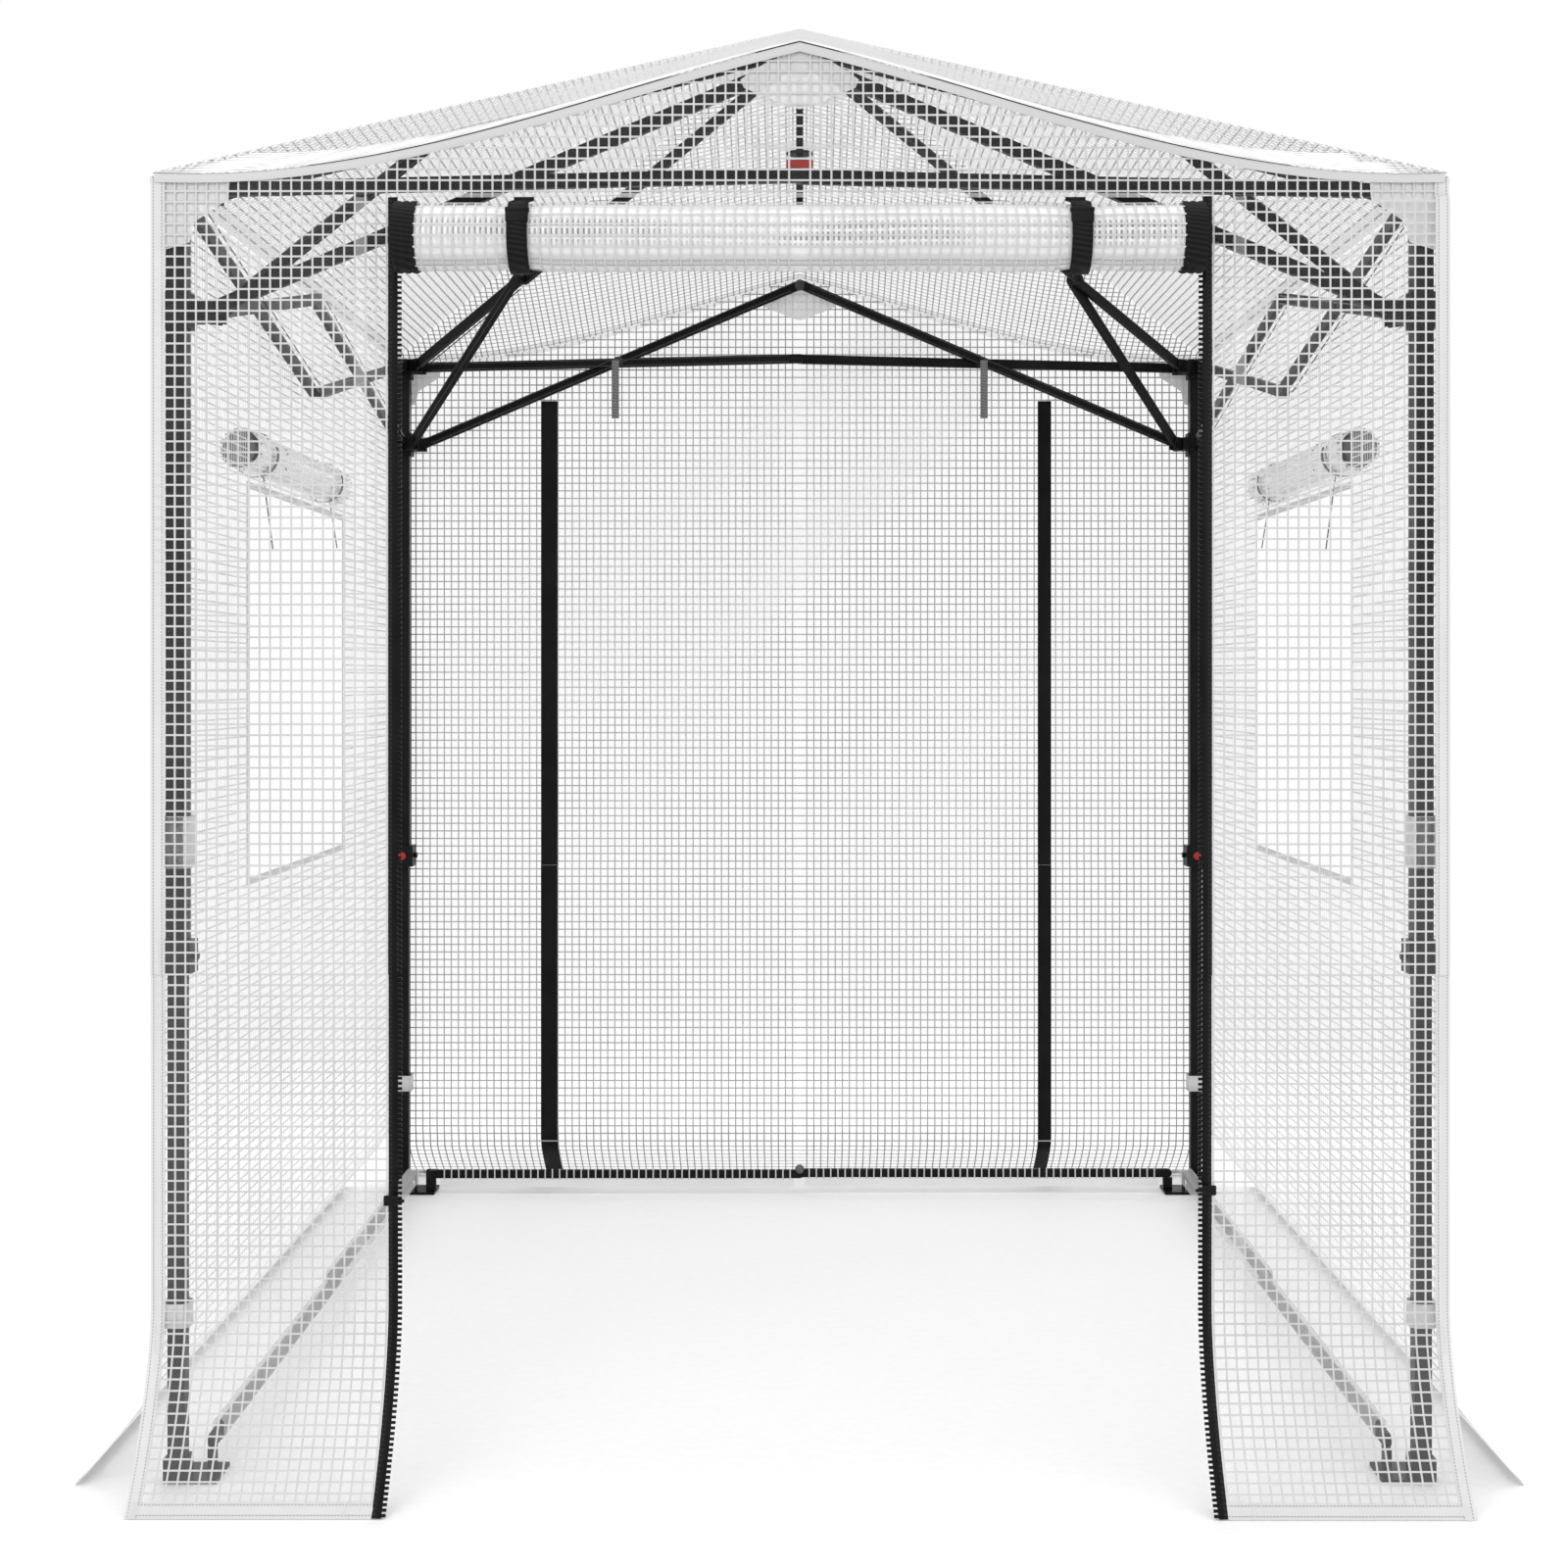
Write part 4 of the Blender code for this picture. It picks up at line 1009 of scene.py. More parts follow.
    def roof_panels(self, side: int, end: int) -> None:
        """A quarter of the roof: the part outside the rafter's elbow and the part inside it."""
        slope = COVER_Y / COVER_X
        hip = Vector((side * COVER_X, end * COVER_Y, CORNER_Z - PLANES_MEET_Z))
        cut_x, cut_y = ELBOW * COVER_X, ELBOW * COVER_Y
        name = corner_name(side, end)

        def stretch(near: float, far: float, low: Limit, high: Limit) -> Stretch:
            """A stretch given on the quarter's positive side, mirrored to its place."""
            bottom, top = (low, high) if end > 0 else (high, low)
            return Stretch(*span(side, near, far), lambda s: end * value_at(bottom, abs(s)),
                           lambda s: end * value_at(top, abs(s)))

        over_side = [stretch(cut_x, COVER_X, 0.0, lambda s: s * slope),
                     stretch(0.0, cut_x, 0.0, lambda s: s * slope)]
        over_end = [stretch(0.0, COVER_X, lambda s: max(cut_y, s * slope), COVER_Y),
                    stretch(0.0, cut_x, lambda s: s * slope, cut_y)]
        hem_width, hem = (0.100, HEM_WHITE) if end < 0 else (0.020, HEM_THIN)
        gable_hem = Band("gable_hem", Run.ACROSS, end * (COVER_Y - hem_width / 2),
                         *span(side, 0.0, COVER_X - 0.004), hem_width, hem, 0.0004)
        eave_hem = Band("eave_hem", Run.UP, side * (COVER_X - 0.012), *span(end, 0.0, COVER_Y - 0.004), 0.024,
                        HEM_THIN, 0.0004)
        for label, stretches, level, band in (
            ("side", over_side, Vector((side * COVER_X, 0, CORNER_Z - PLANES_MEET_Z)), eave_hem),
            ("end", over_end, Vector((0, end * COVER_Y, GABLE_Z - PLANES_MEET_Z)), gable_hem),
        ):
            inward = level - hip * (level.dot(hip) / hip.dot(hip))
            for part, covered, bands in (("outer", stretches[0], [band]), ("inner", stretches[1], [])):
                travel = Travel(f"{name}_{part}_rafter", tuple(inward), (0, 0, PLANES_MEET_Z), 0.06)
                Panel(f"roof_{part}_{label}_{name}", RoofCloth(), [covered], travel, ROOF, bands, ("roof",),
                      12).build()


# ---------------------------------------------------------------- zips and rolls


@dataclass
class Zip:
    """One of the doorway's zips: grey tape, black chain and the comb of teeth beside the doorway."""

    side: int
    tape: float = 0.5720
    chain: float = 0.5655
    chain_width: float = 0.0080
    tooth: Triple = (0.0075, 0.0026, 0.0038)
    pitch: float = 0.0073

    def build(self) -> None:
        """Makes the zip in its two lengths, on the outer and the inner leg's cloth."""
        proud = RIGHT_PROUD if self.side > 0 else 0.0
        low = SKIRTS[0, -1].low + 0.001
        for part, body, bottom, top, shift in lengths_of(self.side, -1, low, DOOR_TOP, ZIP_LAP):
            surface = Wall(0, -1, proud + shift)
            name = f"{side_name(self.side)}_zip_{part}"
            tape = tapes(surface, [(self.side * self.tape, bottom, top)], Run.UP, 0.0060, 40, 0.0008, 0.0012,
                         mapped=True)
            piece(f"{name}_tape", tape, ZIP_GREY, Travel(body))
            chain = tapes(surface, [(self.side * self.chain, bottom, top)], Run.UP, self.chain_width, 40,
                          0.0012, 0.0014, mapped=True)
            piece(f"{name}_chain", joined(chain, self.teeth(surface, bottom, top)), ZIP_BLACK, Travel(body),
                  smooth=False)

    def teeth(self, surface: Surface, bottom: float, top: float) -> Shape:
        """The comb of teeth."""
        shape = bmesh.new()
        x = self.side * (self.chain - self.chain_width / 2 - self.tooth[0] / 2 + 0.002)
        across = Vector((1, 0, 0))
        for i in range(int((top - bottom) / self.pitch)):
            t = bottom + (i + 0.5) * self.pitch
            here = surface.at(x, t)
            tilt = (surface.at(x, t + 0.002) - here).normalized()
            turn = Matrix((across, across.cross(tilt), tilt)).transposed().to_4x4()
            cuboid(shape, here + surface.outward(here) * 0.001, self.tooth, turn)
        return shape


@dataclass
class ZipPull:
    """Slider of a doorway zip with its tab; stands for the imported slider."""

    side: int
    rise: float = 0.170  # rise of its travel, meant to keep it to the zip as the legs shorten
    swing: float = 0.041
    keep: float = 0.9

    def build(self) -> None:
        """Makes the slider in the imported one's box."""
        name = f"{side_name(self.side)}_zipper_slider"
        low, high = (corner.copy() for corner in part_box(name))
        middle = (low + high) / 2
        near, far = sorted((abs(low.x), abs(high.x)))
        back = -(WALL_Y + (RIGHT_PROUD if self.side > 0 else 0.0) + 0.0032)
        front = min(low.y, back - 0.0040)
        shape = bmesh.new()
        left, right = span(self.side, near + 0.0095, far)
        block(shape, (left, front, low.z), (right, back, high.z), 0.0018, 3)
        block(shape, (left + 0.006, front - 0.0012, middle.z - 0.003),
              (right - 0.006, front + 0.002, middle.z + 0.003), 0.0008)
        left, right = span(self.side, near, near + 0.018)
        block(shape, (left, front, middle.z - 0.0022), (right, front + 0.003, middle.z + 0.0022), 0.0009)
        axis = Vector((0, -self.swing, self.rise))
        joint = "leg_height" if self.side < 0 else "front_right_leg_height"
        travel = Travel(name, tuple(axis), tuple(middle + axis / (1 - self.keep)), self.keep, joint)
        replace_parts(piece(f"{name}_body", shape, PLASTIC_BLACK, travel), name)


@dataclass(frozen=True)
class Layer:
    """One layer of a rolled cloth, from its start to its end in turns."""

    radius: float
    growth: float  # in a full turn
    mean: float  # radius that gives its flat length
    start: float = 0.0
    end: float = 1.0

    def stretch(self, near: float, far: float) -> Stretch:
        """The layer's cloth between two places along the roll."""
        turn = math.tau * self.radius
        return Stretch(near, far, self.start * turn, self.end * turn)

    def flat(self, near: float, far: float) -> tuple[float, float]:
        """Flat size of that cloth."""
        return far - near, (self.end - self.start) * math.tau * self.mean


def arc(centre: Vector, out: Vector, radius: float, start: int, count: int) -> list[Vector]:
    """Points round a roll, every 10 degrees downwards from a start above its outermost line."""
    turns = [math.radians(start - i * 10) for i in range(count)]
    return [centre + (out * math.cos(turn) + Vector((0, 0, 1)) * math.sin(turn)) * radius for turn in turns]


class Roll:
    """Cloth rolled up above its opening: a milky core and a loose outer layer with its threads."""

    along: Vector
    core: Layer
    skin: Layer
    pinches: tuple[float, float]
    looks: tuple[Finish, Thread]
    steps: tuple[int, int]

    def wind(self, name: str, centre: Vector, ends: tuple[float, float], rests_on: str, travel: Travel,
             hemmed: bool) -> bpy.types.Object:
        core, skin = (RollCloth(self.along, centre, layer.radius, layer.growth, self.pinches)
                      for layer in (self.core, self.skin))
        milky, thread = self.looks
        inner = piece(f"{name}_core", film_over(core, [self.core.stretch(*ends)], ROLL_CELL), milky, travel)
        self.core.flat(*ends)
        stretch = self.skin.stretch(*ends)
        outer = piece(f"{name}_skin", film_over(skin, [stretch], ROLL_CELL), FILM_ROLL, travel)
        threads = threads_over(skin, [stretch], (PITCH_ACROSS, PITCH_UP), self.steps)
        trims = [piece(f"{name}_threads", threads, thread, travel)]
        if hemmed:
            edge = tapes(skin, [(stretch.bottom + 0.006, *ends)], Run.ACROSS, 0.012, 40, 0.0008, 0.0010,
                         mapped=True)
            trims.append(piece(f"{name}_hem", edge, BINDING_WHITE, travel))
        self.skin.flat(*ends)
        return outer


class DoorRoll(Roll):
    """The doorway's cloth rolled up under the lintel, with black ends and straps."""

    along = Vector((1, 0, 0))
    core = Layer(0.0440, 0.001, 0.0445)
    skin = Layer(0.0465, 0.0022, 0.0475, -0.35, 0.72)
    strap_x = 0.385
    pinches = (-strap_x, strap_x)
    looks = (ROLL_MILKY, FRONT.thread)
    steps = (30, 40)
    strap_width = 0.028
    strap_radius = 0.0505
    end_width = 0.033
    end_radius = 0.0482

    def build(self) -> None:
        """Makes both halves of the roll, each riding its front leg with a travel that records its gathering
        outwards before the front cloth on its side.
        """
        middle = (ROLL_LOW.z + ROLL_HIGH.z) / 2
        self.reach = ROLL_HIGH.x
        centre = Vector((0, ROLL_LOW.y + 0.051, middle if middle < 1.74 else 1.737))
        for side in (-1, 1):
            name = f"door_roll_{side_name(side)}"
            travel = Travel(leg_body(side, -1), (1, -0.082 * side, 0), (side * WALL_EDGE_X, -WALL_Y, 0))
            ends = span(side, 0.0, self.reach - self.end_width + 0.002)
            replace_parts(self.wind(name, centre, ends, "door_roll", travel, hemmed=True), "door_roll")
            self.end(side, name, centre, travel)
            self.strap(centre + Vector((side * self.strap_x, 0, 0)), name, travel)

    def end(self, side: int, name: str, centre: Vector, travel: Travel) -> None:
        """Black zip tape wound into the roll's end: ridges round it and a spiral on its face."""
        along = Vector((side, 0, 0))
        width, radius, ridge = self.end_width / 3, self.end_radius, self.end_radius + 0.0012
        profile = [(0.0, 0.040)]
        for k in range(3):
            profile += [(k * width + 0.0006, radius), (k * width + width * 0.3, ridge),
                        (k * width + width * 0.7, ridge), ((k + 1) * width - 0.0006, radius)]
        profile += [(self.end_width, 0.040), (self.end_width - 0.002, 0.0)]
        shape = turned(profile, centre + along * (self.reach - self.end_width), along, 40)
        face = centre + along * (self.reach - 0.0016)
        path = []
        for i in range(150):
            angle, reach = math.tau * i / 24, 0.006 + 0.036 * i / 149
            path.append(face + Vector((0, math.cos(angle) * reach, math.sin(angle) * reach)))
        piece(f"{name}_end", joined(shape, ribbon(path, along, 0.004, 0.0012)), STRAP_BLACK, travel)

    def strap(self, centre: Vector, name: str, travel: Travel) -> None:
        """A webbing strap from the lintel round the roll, with its buckle."""
        x, y, z = centre
        wall = -(WALL_Y + 0.0035)
        path = [Vector((x, wall, DOOR_TOP)), Vector((x, wall, DOOR_TOP - 0.004)),
                *arc(centre, Vector((0, -1, 0)), self.strap_radius, 62, 27)]
        piece(f"{name}_strap", ribbon(path, self.along, self.strap_width, 0.0016), STRAP_BLACK, travel)
        front = y - self.strap_radius
        half = self.strap_width / 2 + 0.0025
        shape = bmesh.new()
        block(shape, (x - half, front + 0.004, z + 0.026), (x + half, front + 0.012, z + 0.033), 0.0015)
        block(shape, (x - half + 0.001, front + 0.0005, z + 0.012),
              (x + half - 0.001, front + 0.005, z + 0.026), 0.0015)
        piece(f"{name}_buckle", shape, PLASTIC_BLACK, travel)


class WindowRoll(Roll):
    """A side window's cloth rolled up above its opening, with its ties."""

    radius = 0.036
    along = Vector((0, 1, 0))
    core = Layer(radius - 0.005, 0.001, radius - 0.0045)
    skin = Layer(radius - 0.0025, 0.0015, radius - 0.0018, -0.3, 0.72)
    tie_y = 0.27
    pinches = (-tie_y, tie_y)
    looks = (ROLL_WHITE, SIDE.thread)
    steps = (24, 24)
    lift = 0.066  # roll's middle above the opening
    off = 0.014  # roll's middle outside the wall
    rings = (0.372, 0.300, 0.190)  # where wound edges show as dashes
    dash = (0.0045, 0.0026, 0.0012)

    def __init__(self, side: int) -> None:
        """Sets the window's side."""
        self.side = side

    def build(self) -> None:
        """Makes both halves of the roll."""
        centre = Vector((self.side * (COVER_X + self.off), 0, WINDOW_HIGH + self.lift))
        for end in (-1, 1):
            self.half(end, centre)

    def half(self, end: int, centre: Vector) -> None:
        """One half, riding its leg with a travel that records its gathering towards it."""
        name = f"{side_name(self.side)}_window_roll_{end_name(end)}"
        travel = gather_y(leg_body(self.side, end), end)
        ends = span(end, 0.0, WINDOW_HALF - 0.004)
        self.wind(name, centre, ends, f"{side_name(self.side)}_wall", travel, hemmed=False)
        disc = self.radius * 0.70
        profile = [(0.0, 0.0), (0.0, disc - 0.002), (0.001, disc), (0.005, disc), (0.006, disc - 0.002),
                   (0.005, disc * 0.4), (0.0055, 0.0)]
        along = Vector((0, end, 0))
        piece(f"{name}_end", turned(profile, centre + along * (WINDOW_HALF - 0.006), along, 32), PLUG_GREY,
              travel)
        piece(f"{name}_dashes", self.dashes(end, centre), PLUG_GREY, travel, smooth=False)
        self.tie(end, centre, name, travel)

    def dashes(self, end: int, centre: Vector) -> Shape:
        """Dashes in rings round the roll, with irregular gaps."""
        shape = bmesh.new()
        for k, place in enumerate(self.rings):
            for i in range(26):
                if (i * 7 + k * 5) % 9 < 2 + 2 * k:
                    continue
                angle = math.tau * (i + 0.2 * math.sin(3 * i)) / 26
                spoke = Vector((math.cos(angle), 0, math.sin(angle)))
                reach = self.radius + (-0.0016 if k == 0 else 0.0006)
                cuboid(shape, Vector((centre.x, end * place, centre.z)) + spoke * reach, self.dash,
                       spoke.to_track_quat("Z", "Y").to_matrix().to_4x4())
        return shape

    def tie(self, end: int, centre: Vector, name: str, travel: Travel) -> None:
        """A tie round the roll, whose tail hangs down over the opening."""
        middle = centre + Vector((0, end * self.tie_y, 0))
        strap = ribbon(arc(middle, Vector((self.side, 0, 0)), self.radius + 0.0008, 120, 33), self.along,
                       0.014, 0.0012)
        start = middle + Vector((-self.side * 0.012, 0.004, -self.radius - 0.001))
        fall = Vector((0, 0.068, -0.118 if end < 0 else -0.085))
        tail = ribbon([start + fall * (i / 13) for i in range(14)], self.along, 0.007, 0.001)
        piece(f"{name}_tie", joined(strap, tail), TIE_GREY, travel)


# ---------------------------------------------------------------- patches and hardware


class Patches:
    """Milky patches where the cover bears on the frame, and the wraps that tie it to the legs."""

    lift = -0.0025
    apex_top = 2.004
    apex_outline = ((0, 0.0), (0.018, 0.003), (0.045, 0.014), (0.068, 0.027), (0.083, 0.039), (0.078, 0.050),
                    (0.060, 0.058), (0.036, 0.067), (0.016, 0.076), (0, 0.080))  # down from its top
    end_outline = ((0, 0), (0.102, 0.004), (0.100, 0.030), (0.052, 0.062), (0.046, 0.090), (0, 0.104))
    side_outline = ((0, 0), (0.110, 0.004), (0.100, 0.040), (0.050, 0.075), (0, 0.104))
    band_outline = ((0.0, 0.362), (0.0, 0.424), (0.015, 0.421), (0.030, 0.394), (0.046, 0.379),
                    (0.068, 0.366), (0.104, 0.338), (0.104, 0.329), (0.080, 0.338),
                    (0.045, 0.356))  # in plan, from the roof's middle
    wrap_sizes = (("lower", Leg.INNER, 0.218, 0.252, 0.0185), ("upper", Leg.OUTER, 0.862, 0.935, 0.0205))

    def build(self) -> None:
        """Makes every patch and wrap."""
        for side in (-1, 1):
            for end in (-1, 1):
                self.apex(side, end)
                self.corner(side, end)
                self.wraps(side, end)
                self.peak(side, end)

    def apex(self, side: int, end: int) -> None:
        """Half of the lobed patch at the top of a gable."""
        outline = [(side * x, self.apex_top - down) for x, down in self.apex_outline]
        piece(f"{end_name(end)}_apex_patch_{side_name(side)}", patch(Wall(0, end), outline, self.lift),
              PATCH_VINYL, gather_x(leg_body(side, end), side))

    def corner(self, side: int, end: int) -> None:
        """Patches over a corner bracket, on the end wall and on the side wall."""
        top = CORNER_Z - 0.006
        for label, wall, edge, sign, outline in (
            ("end", Wall(0, end), WALL_EDGE_X - 0.002, side, self.end_outline),
            ("side", Wall(side, 0), WALL_EDGE_Y - 0.002, end, self.side_outline),
        ):
            points = [(sign * (edge - inwards), top - down) for inwards, down in outline]
            piece(f"{corner_name(side, end)}_corner_patch_{label}", patch(wall, points, self.lift),
                  PATCH_VINYL, Travel(leg_body(side, end)))

    def peak(self, side: int, end: int) -> None:
        """Quarter of the patch under the roof's peak and half of the band below it, inside the cloth."""
        reach, hip = 0.25, 0.120
        name = corner_name(side, end)
        on_hip = (hip, hip * COVER_Y / COVER_X)
        over_end = ((0.0, 0.004), (0.0, reach), (0.050, reach * 0.88), (0.090, reach * 0.70), on_hip)
        over_side = ((side * 0.004, 0.0), on_hip, (reach * 0.60, 0.06), (reach * 0.66, 0.0))
        travel = Travel(f"{name}_inner_rafter", (-end * COVER_Y, side * COVER_X, 0),
                        (side * LEG_X, end * COVER_Y * LEG_X / COVER_X, CORNER_Z), 0.08)
        for label, outline, welt in (("end", over_end, 0.006), ("side", over_side, 0.006),
                                     ("band", self.band_outline, 0.002)):
            points = [(side * s, end * t) for s, t in outline]
            piece(f"{name}_peak_patch_{label}", patch(RoofCloth(), points, -0.0035, welt), PATCH_THIN, travel)

    def wraps(self, side: int, end: int) -> None:
        """Hook-and-loop wraps that hold the cloth to a leg; the back legs have the lower one only."""
        for label, leg, low, high, half in self.wrap_sizes[:2 if end < 0 else 1]:
            centre = Vector((side * LEG_X, end * (LEG_EDGE_Y - 0.016), (low + high) / 2))
            shape = bmesh.new()
            cuboid(shape, centre, (half * 2, half * 2, high - low))
            bevel(shape, edges_along(shape, 2, (high - low) / 2), 0.008, 4)
            open_ends(shape, 2)
            shape.normal_update()
            bmesh.ops.solidify(shape, geom=shape.faces[:], thickness=0.0016)
            to_wall = WALL_Y - abs(centre.y) - 0.003
            block(shape, centre + Vector((-half * 0.7, end * half * 0.9, low - centre.z)),
                  centre + Vector((half * 0.7, end * to_wall, high - centre.z)), 0.001)
            travel = Travel(leg_body(side, end, leg))
            if leg is Leg.OUTER:
                travel = Travel(travel.body, (0, 0, 1), (0, 0, 0.78), 0.35)
            piece(f"{corner_name(side, end)}_wrap_{label}", shape, WRAP_GREY, travel)


class RailSleeve:
    """The walls' hems sleeved over the base rails, with their grid and the knob at the back rail's hinge."""

    room = 0.0035  # between a side rail and its sleeve
    thread_height = 0.0125 * 1.9
    knob = ((0.0, 0.0), (0.0, 0.0085), (0.003, 0.0100), (0.006, 0.0085), (0.007, 0.0))

    def build(self) -> None:
        """Makes the sleeves on every half rail."""
        for side in (-1, 1):
            for end in (-1, 1):
                self.side_sleeve(f"{side_name(side)}_rail_{end_name(end)}_half")
        for side in (-1, 1):
            self.back_sleeve(side, f"back_rail_{side_name(side)}_half")
        low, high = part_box("back_rail_left_half")
        start = Vector((0, low.y + 0.001, (low.z + high.z) / 2 + 0.012))
        piece("back_rail_knob", turned(self.knob, start, Vector((0, -1, 0)), 20), KNOB_GREY,
              Travel("back_rail_left_half"))

    def side_sleeve(self, node: str) -> None:
        """Translucent sleeve round half of a side rail."""
        low, high = (corner.copy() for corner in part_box(node))
        low.y, high.y = low.y + 0.040, high.y - 0.006
        if low.y > -0.1:
            low.y, high.y = low.y - 0.034, high.y - 0.034
        low -= Vector((self.room, 0, 0.002))
        high += Vector((self.room, 0, self.room * 3))
        shape = bmesh.new()
        cuboid(shape, (low + high) / 2, high - low)
        open_ends(shape, 1)
        bevel(shape, edges_along(shape, 1, 0.1), 0.006, 4)
        piece(f"{node}_sleeve", shape, SLEEVE, Travel(node))

    def back_sleeve(self, side: int, node: str) -> None:
        """Threads and hem on half of the back rail."""
        low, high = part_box(node)
        near, far = min(abs(low.x), abs(high.x)) + 0.004, max(abs(low.x), abs(high.x)) - 0.030
        pitch = PITCH_BACK[0]
        shape = bmesh.new()
        for i in range(int((far - near) / pitch)):
            cuboid(shape, (side * (near + (i + 0.5) * pitch), low.y - 0.0014, ((low + high) / 2).z),
                   (THREAD, 0.0008, self.thread_height))
        piece(f"{node}_sleeve_threads", shape, FRONT.thread, Travel(node), smooth=False)
        left, right = span(side, near, far)
        hem = bmesh.new()
        block(hem, (left, low.y - 0.0016, low.z - 0.019), (right, low.y - 0.0004, low.z - 0.001), 0.0003, 1)
        piece(f"{node}_sleeve_hem", hem, HEM_WHITE, Travel(node), smooth=False)


class GableHardware:
    """Ties that hang from the crossings of the back gable bars, and rivet heads on the bars' pivots."""

    cross_z = 1.828
    tie_x, tie_end = 0.405, 1.700
    radius, depth = 0.0115, 0.0035  # of a head

    def build(self) -> None:
        """Makes both ties and the six heads."""
        for side in (-1, 1):
            path = [Vector((side * self.tie_x, LEG_EDGE_Y - 0.052,
                            self.cross_z + (self.tie_end - self.cross_z) * i / 10)) for i in range(11)]
            piece(f"back_tie_{side_name(side)}", ribbon(path, Vector((1, 0, 0)), 0.016, 0.0012), TIE_GREY,
                  Travel(f"back_{side_name(side)}_tie_bar"))
        for end in (-1, 1):
            for label, x, z, bar in (("left", -0.401, self.cross_z, "left_tie_bar"),
                                     ("right", 0.401, self.cross_z, "right_tie_bar"),
                                     ("apex", 0.0, 1.996, "left_apex_bar")):
                self.head(end, f"{end_name(end)}_{label}_pivot_head", x, z, f"{end_name(end)}_{bar}")

    def head(self, end: int, name: str, x: float, z: float, node: str) -> None:
        """A rivet head on a bar's inner face."""
        low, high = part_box(node)
        profile = [(-0.001, 0.0), (-0.001, self.radius), (self.depth * 0.6, self.radius),
                   (self.depth, self.radius * 0.8), (self.depth, 0.0)]
        shape = turned(profile, Vector((x, high.y if end < 0 else low.y, z)), Vector((0, -end, 0)), 20)
        # The head takes the same lighter coat, a painted highlight.
        piece(name, shape, STEEL_PAINTED_HIGHLIGHT, Travel(node))


def mean(points: Sequence[Vector]) -> Vector:
    """Middle of several points."""
    return sum(points, Vector()) / len(points)


class BarEdges:
    """The rolled edges of the frame's flat bars, in a lighter coat that paints the highlight along them."""

    kinds = ("tie_bar", "apex_bar", "eave_bar", "slider_bar", "outer_rafter", "inner_rafter", "rafter_strut")
    width, height = 0.0022, 0.0010
    off = 0.0068  # from the bar's middle line
    short = 0.034  # kept clear at each end

    def build(self) -> None:
        """Makes the edges of every bar."""
        for name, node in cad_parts.items():
            if name.endswith(self.kinds):
                self.edges(name, node)

    def outer_plane(self, name: str, middle: Vector) -> tuple[Vector, float]:
        """Direction square to a bar's flat side, and where the plane of its truss lies that way."""
        x, y = math.copysign(1, middle.x), math.copysign(1, middle.y)
        if "bar" not in name:
            return Vector((-COVER_Y * y, COVER_X * x, 0)).normalized(), 0.0
        if name.startswith(("front", "back")):
            return Vector((0, 1, 0)), (LEG_EDGE_Y - 0.014) * y
        return Vector((1, 0, 0)), LEG_X * x

    def edges(self, name: str, node: bpy.types.Object) -> None:
        """The two raised edges on a bar's outer face."""
        points = [node.matrix_world @ vert.co for vert in node.data.vertices]
        middle = mean(points)
        face, plane = self.outer_plane(name, middle)
        level = [point.dot(face) for point in points]
        if (min(level) + max(level)) / 2 < plane:
            face, level = -face, [-place for place in level]
        rough = max(points, key=lambda p: (p - middle).length) - middle
        rough = (rough - face * rough.dot(face)).normalized()
        reach = [(point - middle).dot(rough) for point in points]
        low, high = min(reach), max(reach)
        first = mean([p for p, r in zip(points, reach) if r < low + 0.006])
        along = mean([p for p, r in zip(points, reach) if r > high - 0.006]) - first
        along = (along - face * along.dot(face)).normalized()
        up = along.cross(face)
        near, far = low + self.short, high - self.short
        origin = first - along * (first - middle).dot(along)
        origin += face * (max(level) - origin.dot(face))
        turn = Matrix((along, up, along.cross(up))).transposed().to_4x4()
        shape = bmesh.new()
        for side in (-1, 1):
            cuboid(shape, origin + along * (near + far) / 2 + up * (side * self.off),
                   (far - near, self.width, self.height), turn)
        piece(f"{name}_edges", shape, STEEL_PAINTED_HIGHLIGHT, Travel(name), smooth=False)


class FrameDress:
    """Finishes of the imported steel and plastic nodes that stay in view."""

    finishes = {"black_steel": STEEL_BLACK, "black_plastic": PLASTIC_BLACK, "red_plastic": PLASTIC_RED,
                "film": SIDE.film}

    def build(self) -> None:
        """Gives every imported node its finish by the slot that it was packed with."""
        for name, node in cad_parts.items():
            for slot in node.material_slots:
                kind = slot.material.name.split(".")[0] if slot.material else "black_steel"
                slot.material = material_of(self.finishes.get(kind, STEEL_BLACK))
            LOG.info("dressed %s", name)


# ---------------------------------------------------------------- stage


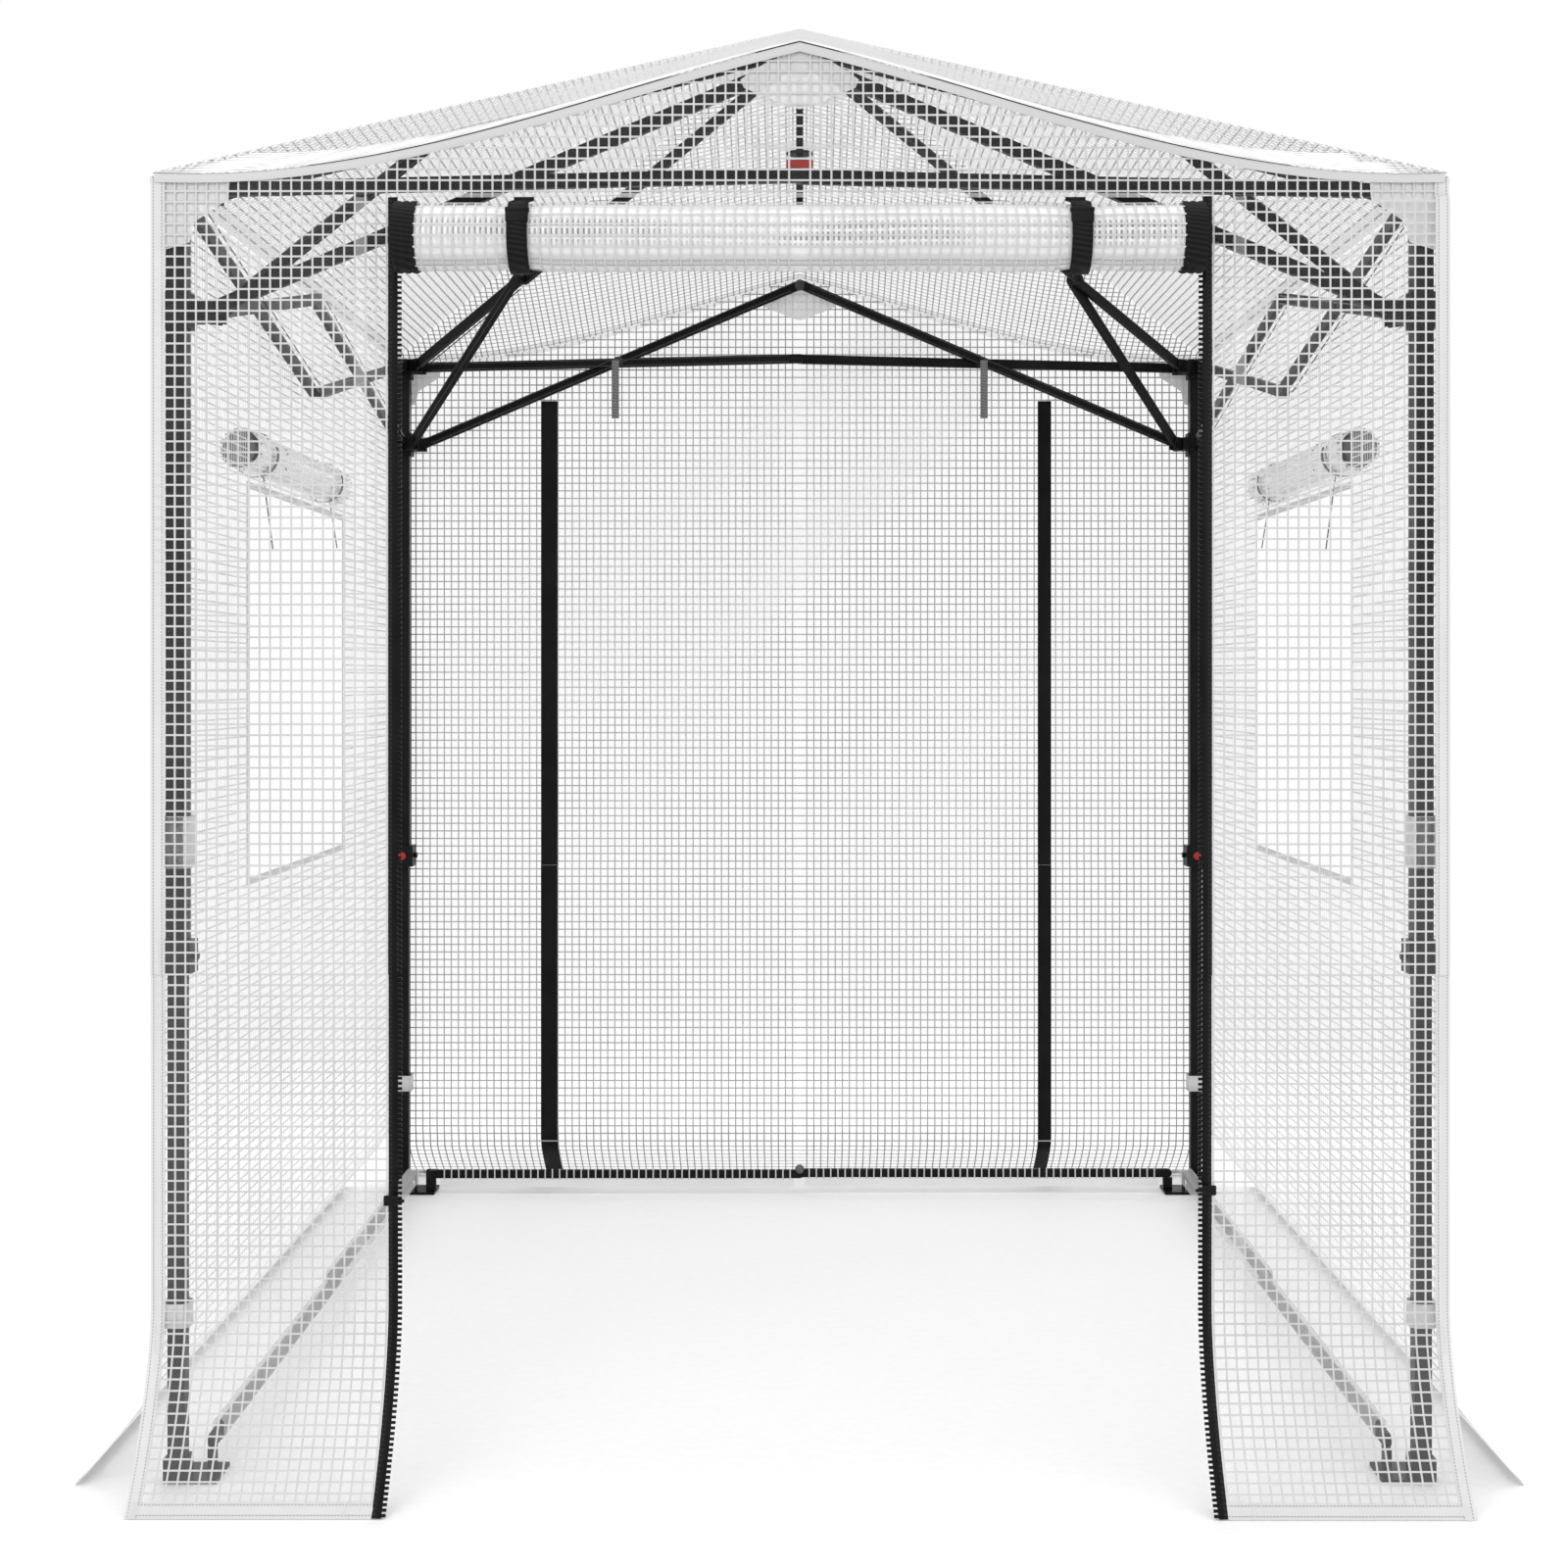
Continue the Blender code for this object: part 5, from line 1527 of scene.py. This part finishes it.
class Studio:
    """Pale floor, soft light and the camera."""

    eye = (0.0, -4.089, 1.127)
    pixels = 1600
    focal_pixels = 2305.0
    centre_x, horizon = 816.0, 693.0  # the view's vanishing point in those pixels
    white = (1, 1, 1, 1)
    boxes = (  # name, place, aim, size and power
        ("front_box", (-2.6, -5.2, 3.6), (0, 0, 1.0), 3.2, 80.0),
        ("fill_box", (3.4, -4.4, 2.0), (0, 0, 1.0), 3.0, 35.0),
        ("top_box", (0.0, 0.5, 6.0), (0, 0, 0.0), 4.0, 110.0),
        ("back_box", (1.0, 6.0, 3.2), (0, 0, 1.2), 3.6, 50.0),
    )

    def build(self) -> None:
        """Makes the stage."""
        self.floor()
        self.world()
        for box in self.boxes:
            self.lamp(*box)
        self.camera()
        bpy.context.scene.view_settings.view_transform = "Standard"

    def floor(self) -> None:
        """A round floor that fades out into the white backdrop."""
        shape = bmesh.new()
        bmesh.ops.create_circle(shape, cap_ends=True, cap_tris=True, segments=96, radius=9.0)
        mesh = bpy.data.meshes.new("floor")
        shape.to_mesh(mesh)
        shape.free()
        floor = bpy.data.objects.new("floor", mesh)
        bpy.context.scene.collection.objects.link(floor)
        mesh.transform(Matrix.Translation((0, 0, -0.0012)))
        pale_floor = bpy.data.materials.new("pale_floor")
        g = Graph(pale_floor)
        away = g.node("VectorMath", {0: g.where((1 / 3.4, 1 / 3.4, 1.0))}, "Value", operation="LENGTH")
        colour = g.tint(g.spread(g.noise(60.0, 2.0), 0.0, 1.0), 0.93, 0.96)
        pale = g.surface(Base_Color=colour, Roughness=0.7, Specular_IOR_Level=0.2)
        fading = g.blend(g.spread(away, 0.0, 1.0, 0.5, 1.0), pale, g.node("BsdfTransparent"))
        g.add("OutputMaterial", {"Surface": fading})
        mesh.materials.append(pale_floor)

    def world(self) -> None:
        """White to the camera and in reflections, and softer as light."""
        world = bpy.data.worlds.new("studio")
        bpy.context.scene.world = world
        g = Graph(world)
        rays = g.add("LightPath").outputs
        seen = g.sum(*(rays[f"Is {kind} Ray"] for kind in ("Camera", "Glossy", "Transmission")))
        light, backdrop = (g.node("Background", {"Color": self.white, "Strength": s}) for s in (0.90, 1.0))
        g.add("OutputWorld", {"Surface": g.blend(seen, light, backdrop)})

    def lamp(self, name: str, place: Triple, aim: Triple, size: float, power: float) -> None:
        """A large soft box."""
        light = bpy.data.lights.new(name, "AREA")
        light.shape, light.size, light.energy = "SQUARE", size, power
        lamp = bpy.data.objects.new(name, light)
        lamp.location = place
        lamp.rotation_euler = (Vector(aim) - Vector(place)).to_track_quat("-Z", "Y").to_euler()
        bpy.context.scene.collection.objects.link(lamp)

    def camera(self) -> None:
        """The photograph's view: level, with its vanishing point kept by the shift."""
        data = bpy.data.cameras.new("view")
        data.sensor_width = 36.0
        data.lens = data.sensor_width * self.focal_pixels / self.pixels
        data.shift_x = -(self.centre_x - self.pixels / 2) / self.pixels
        data.shift_y = -(self.pixels / 2 - self.horizon) / self.pixels
        data.clip_start, data.clip_end = 0.05, 60.0
        camera = bpy.data.objects.new("view", data)
        camera.location = self.eye
        camera.rotation_euler = (math.radians(90), 0, 0)
        bpy.context.scene.collection.objects.link(camera)
        bpy.context.scene.camera = camera


def main() -> None:
    """Builds the dressed model, piece by piece."""
    logging.basicConfig(level=logging.INFO, format="%(name)s: %(message)s")
    FrameDress().build()
    Cover().build()
    for side in (-1, 1):
        Zip(side).build()
        ZipPull(side).build()
        WindowRoll(side).build()
    for group in (DoorRoll, Patches, RailSleeve, GableHardware, BarEdges, Studio):
        group().build()


if __name__ == "__main__":
    main()
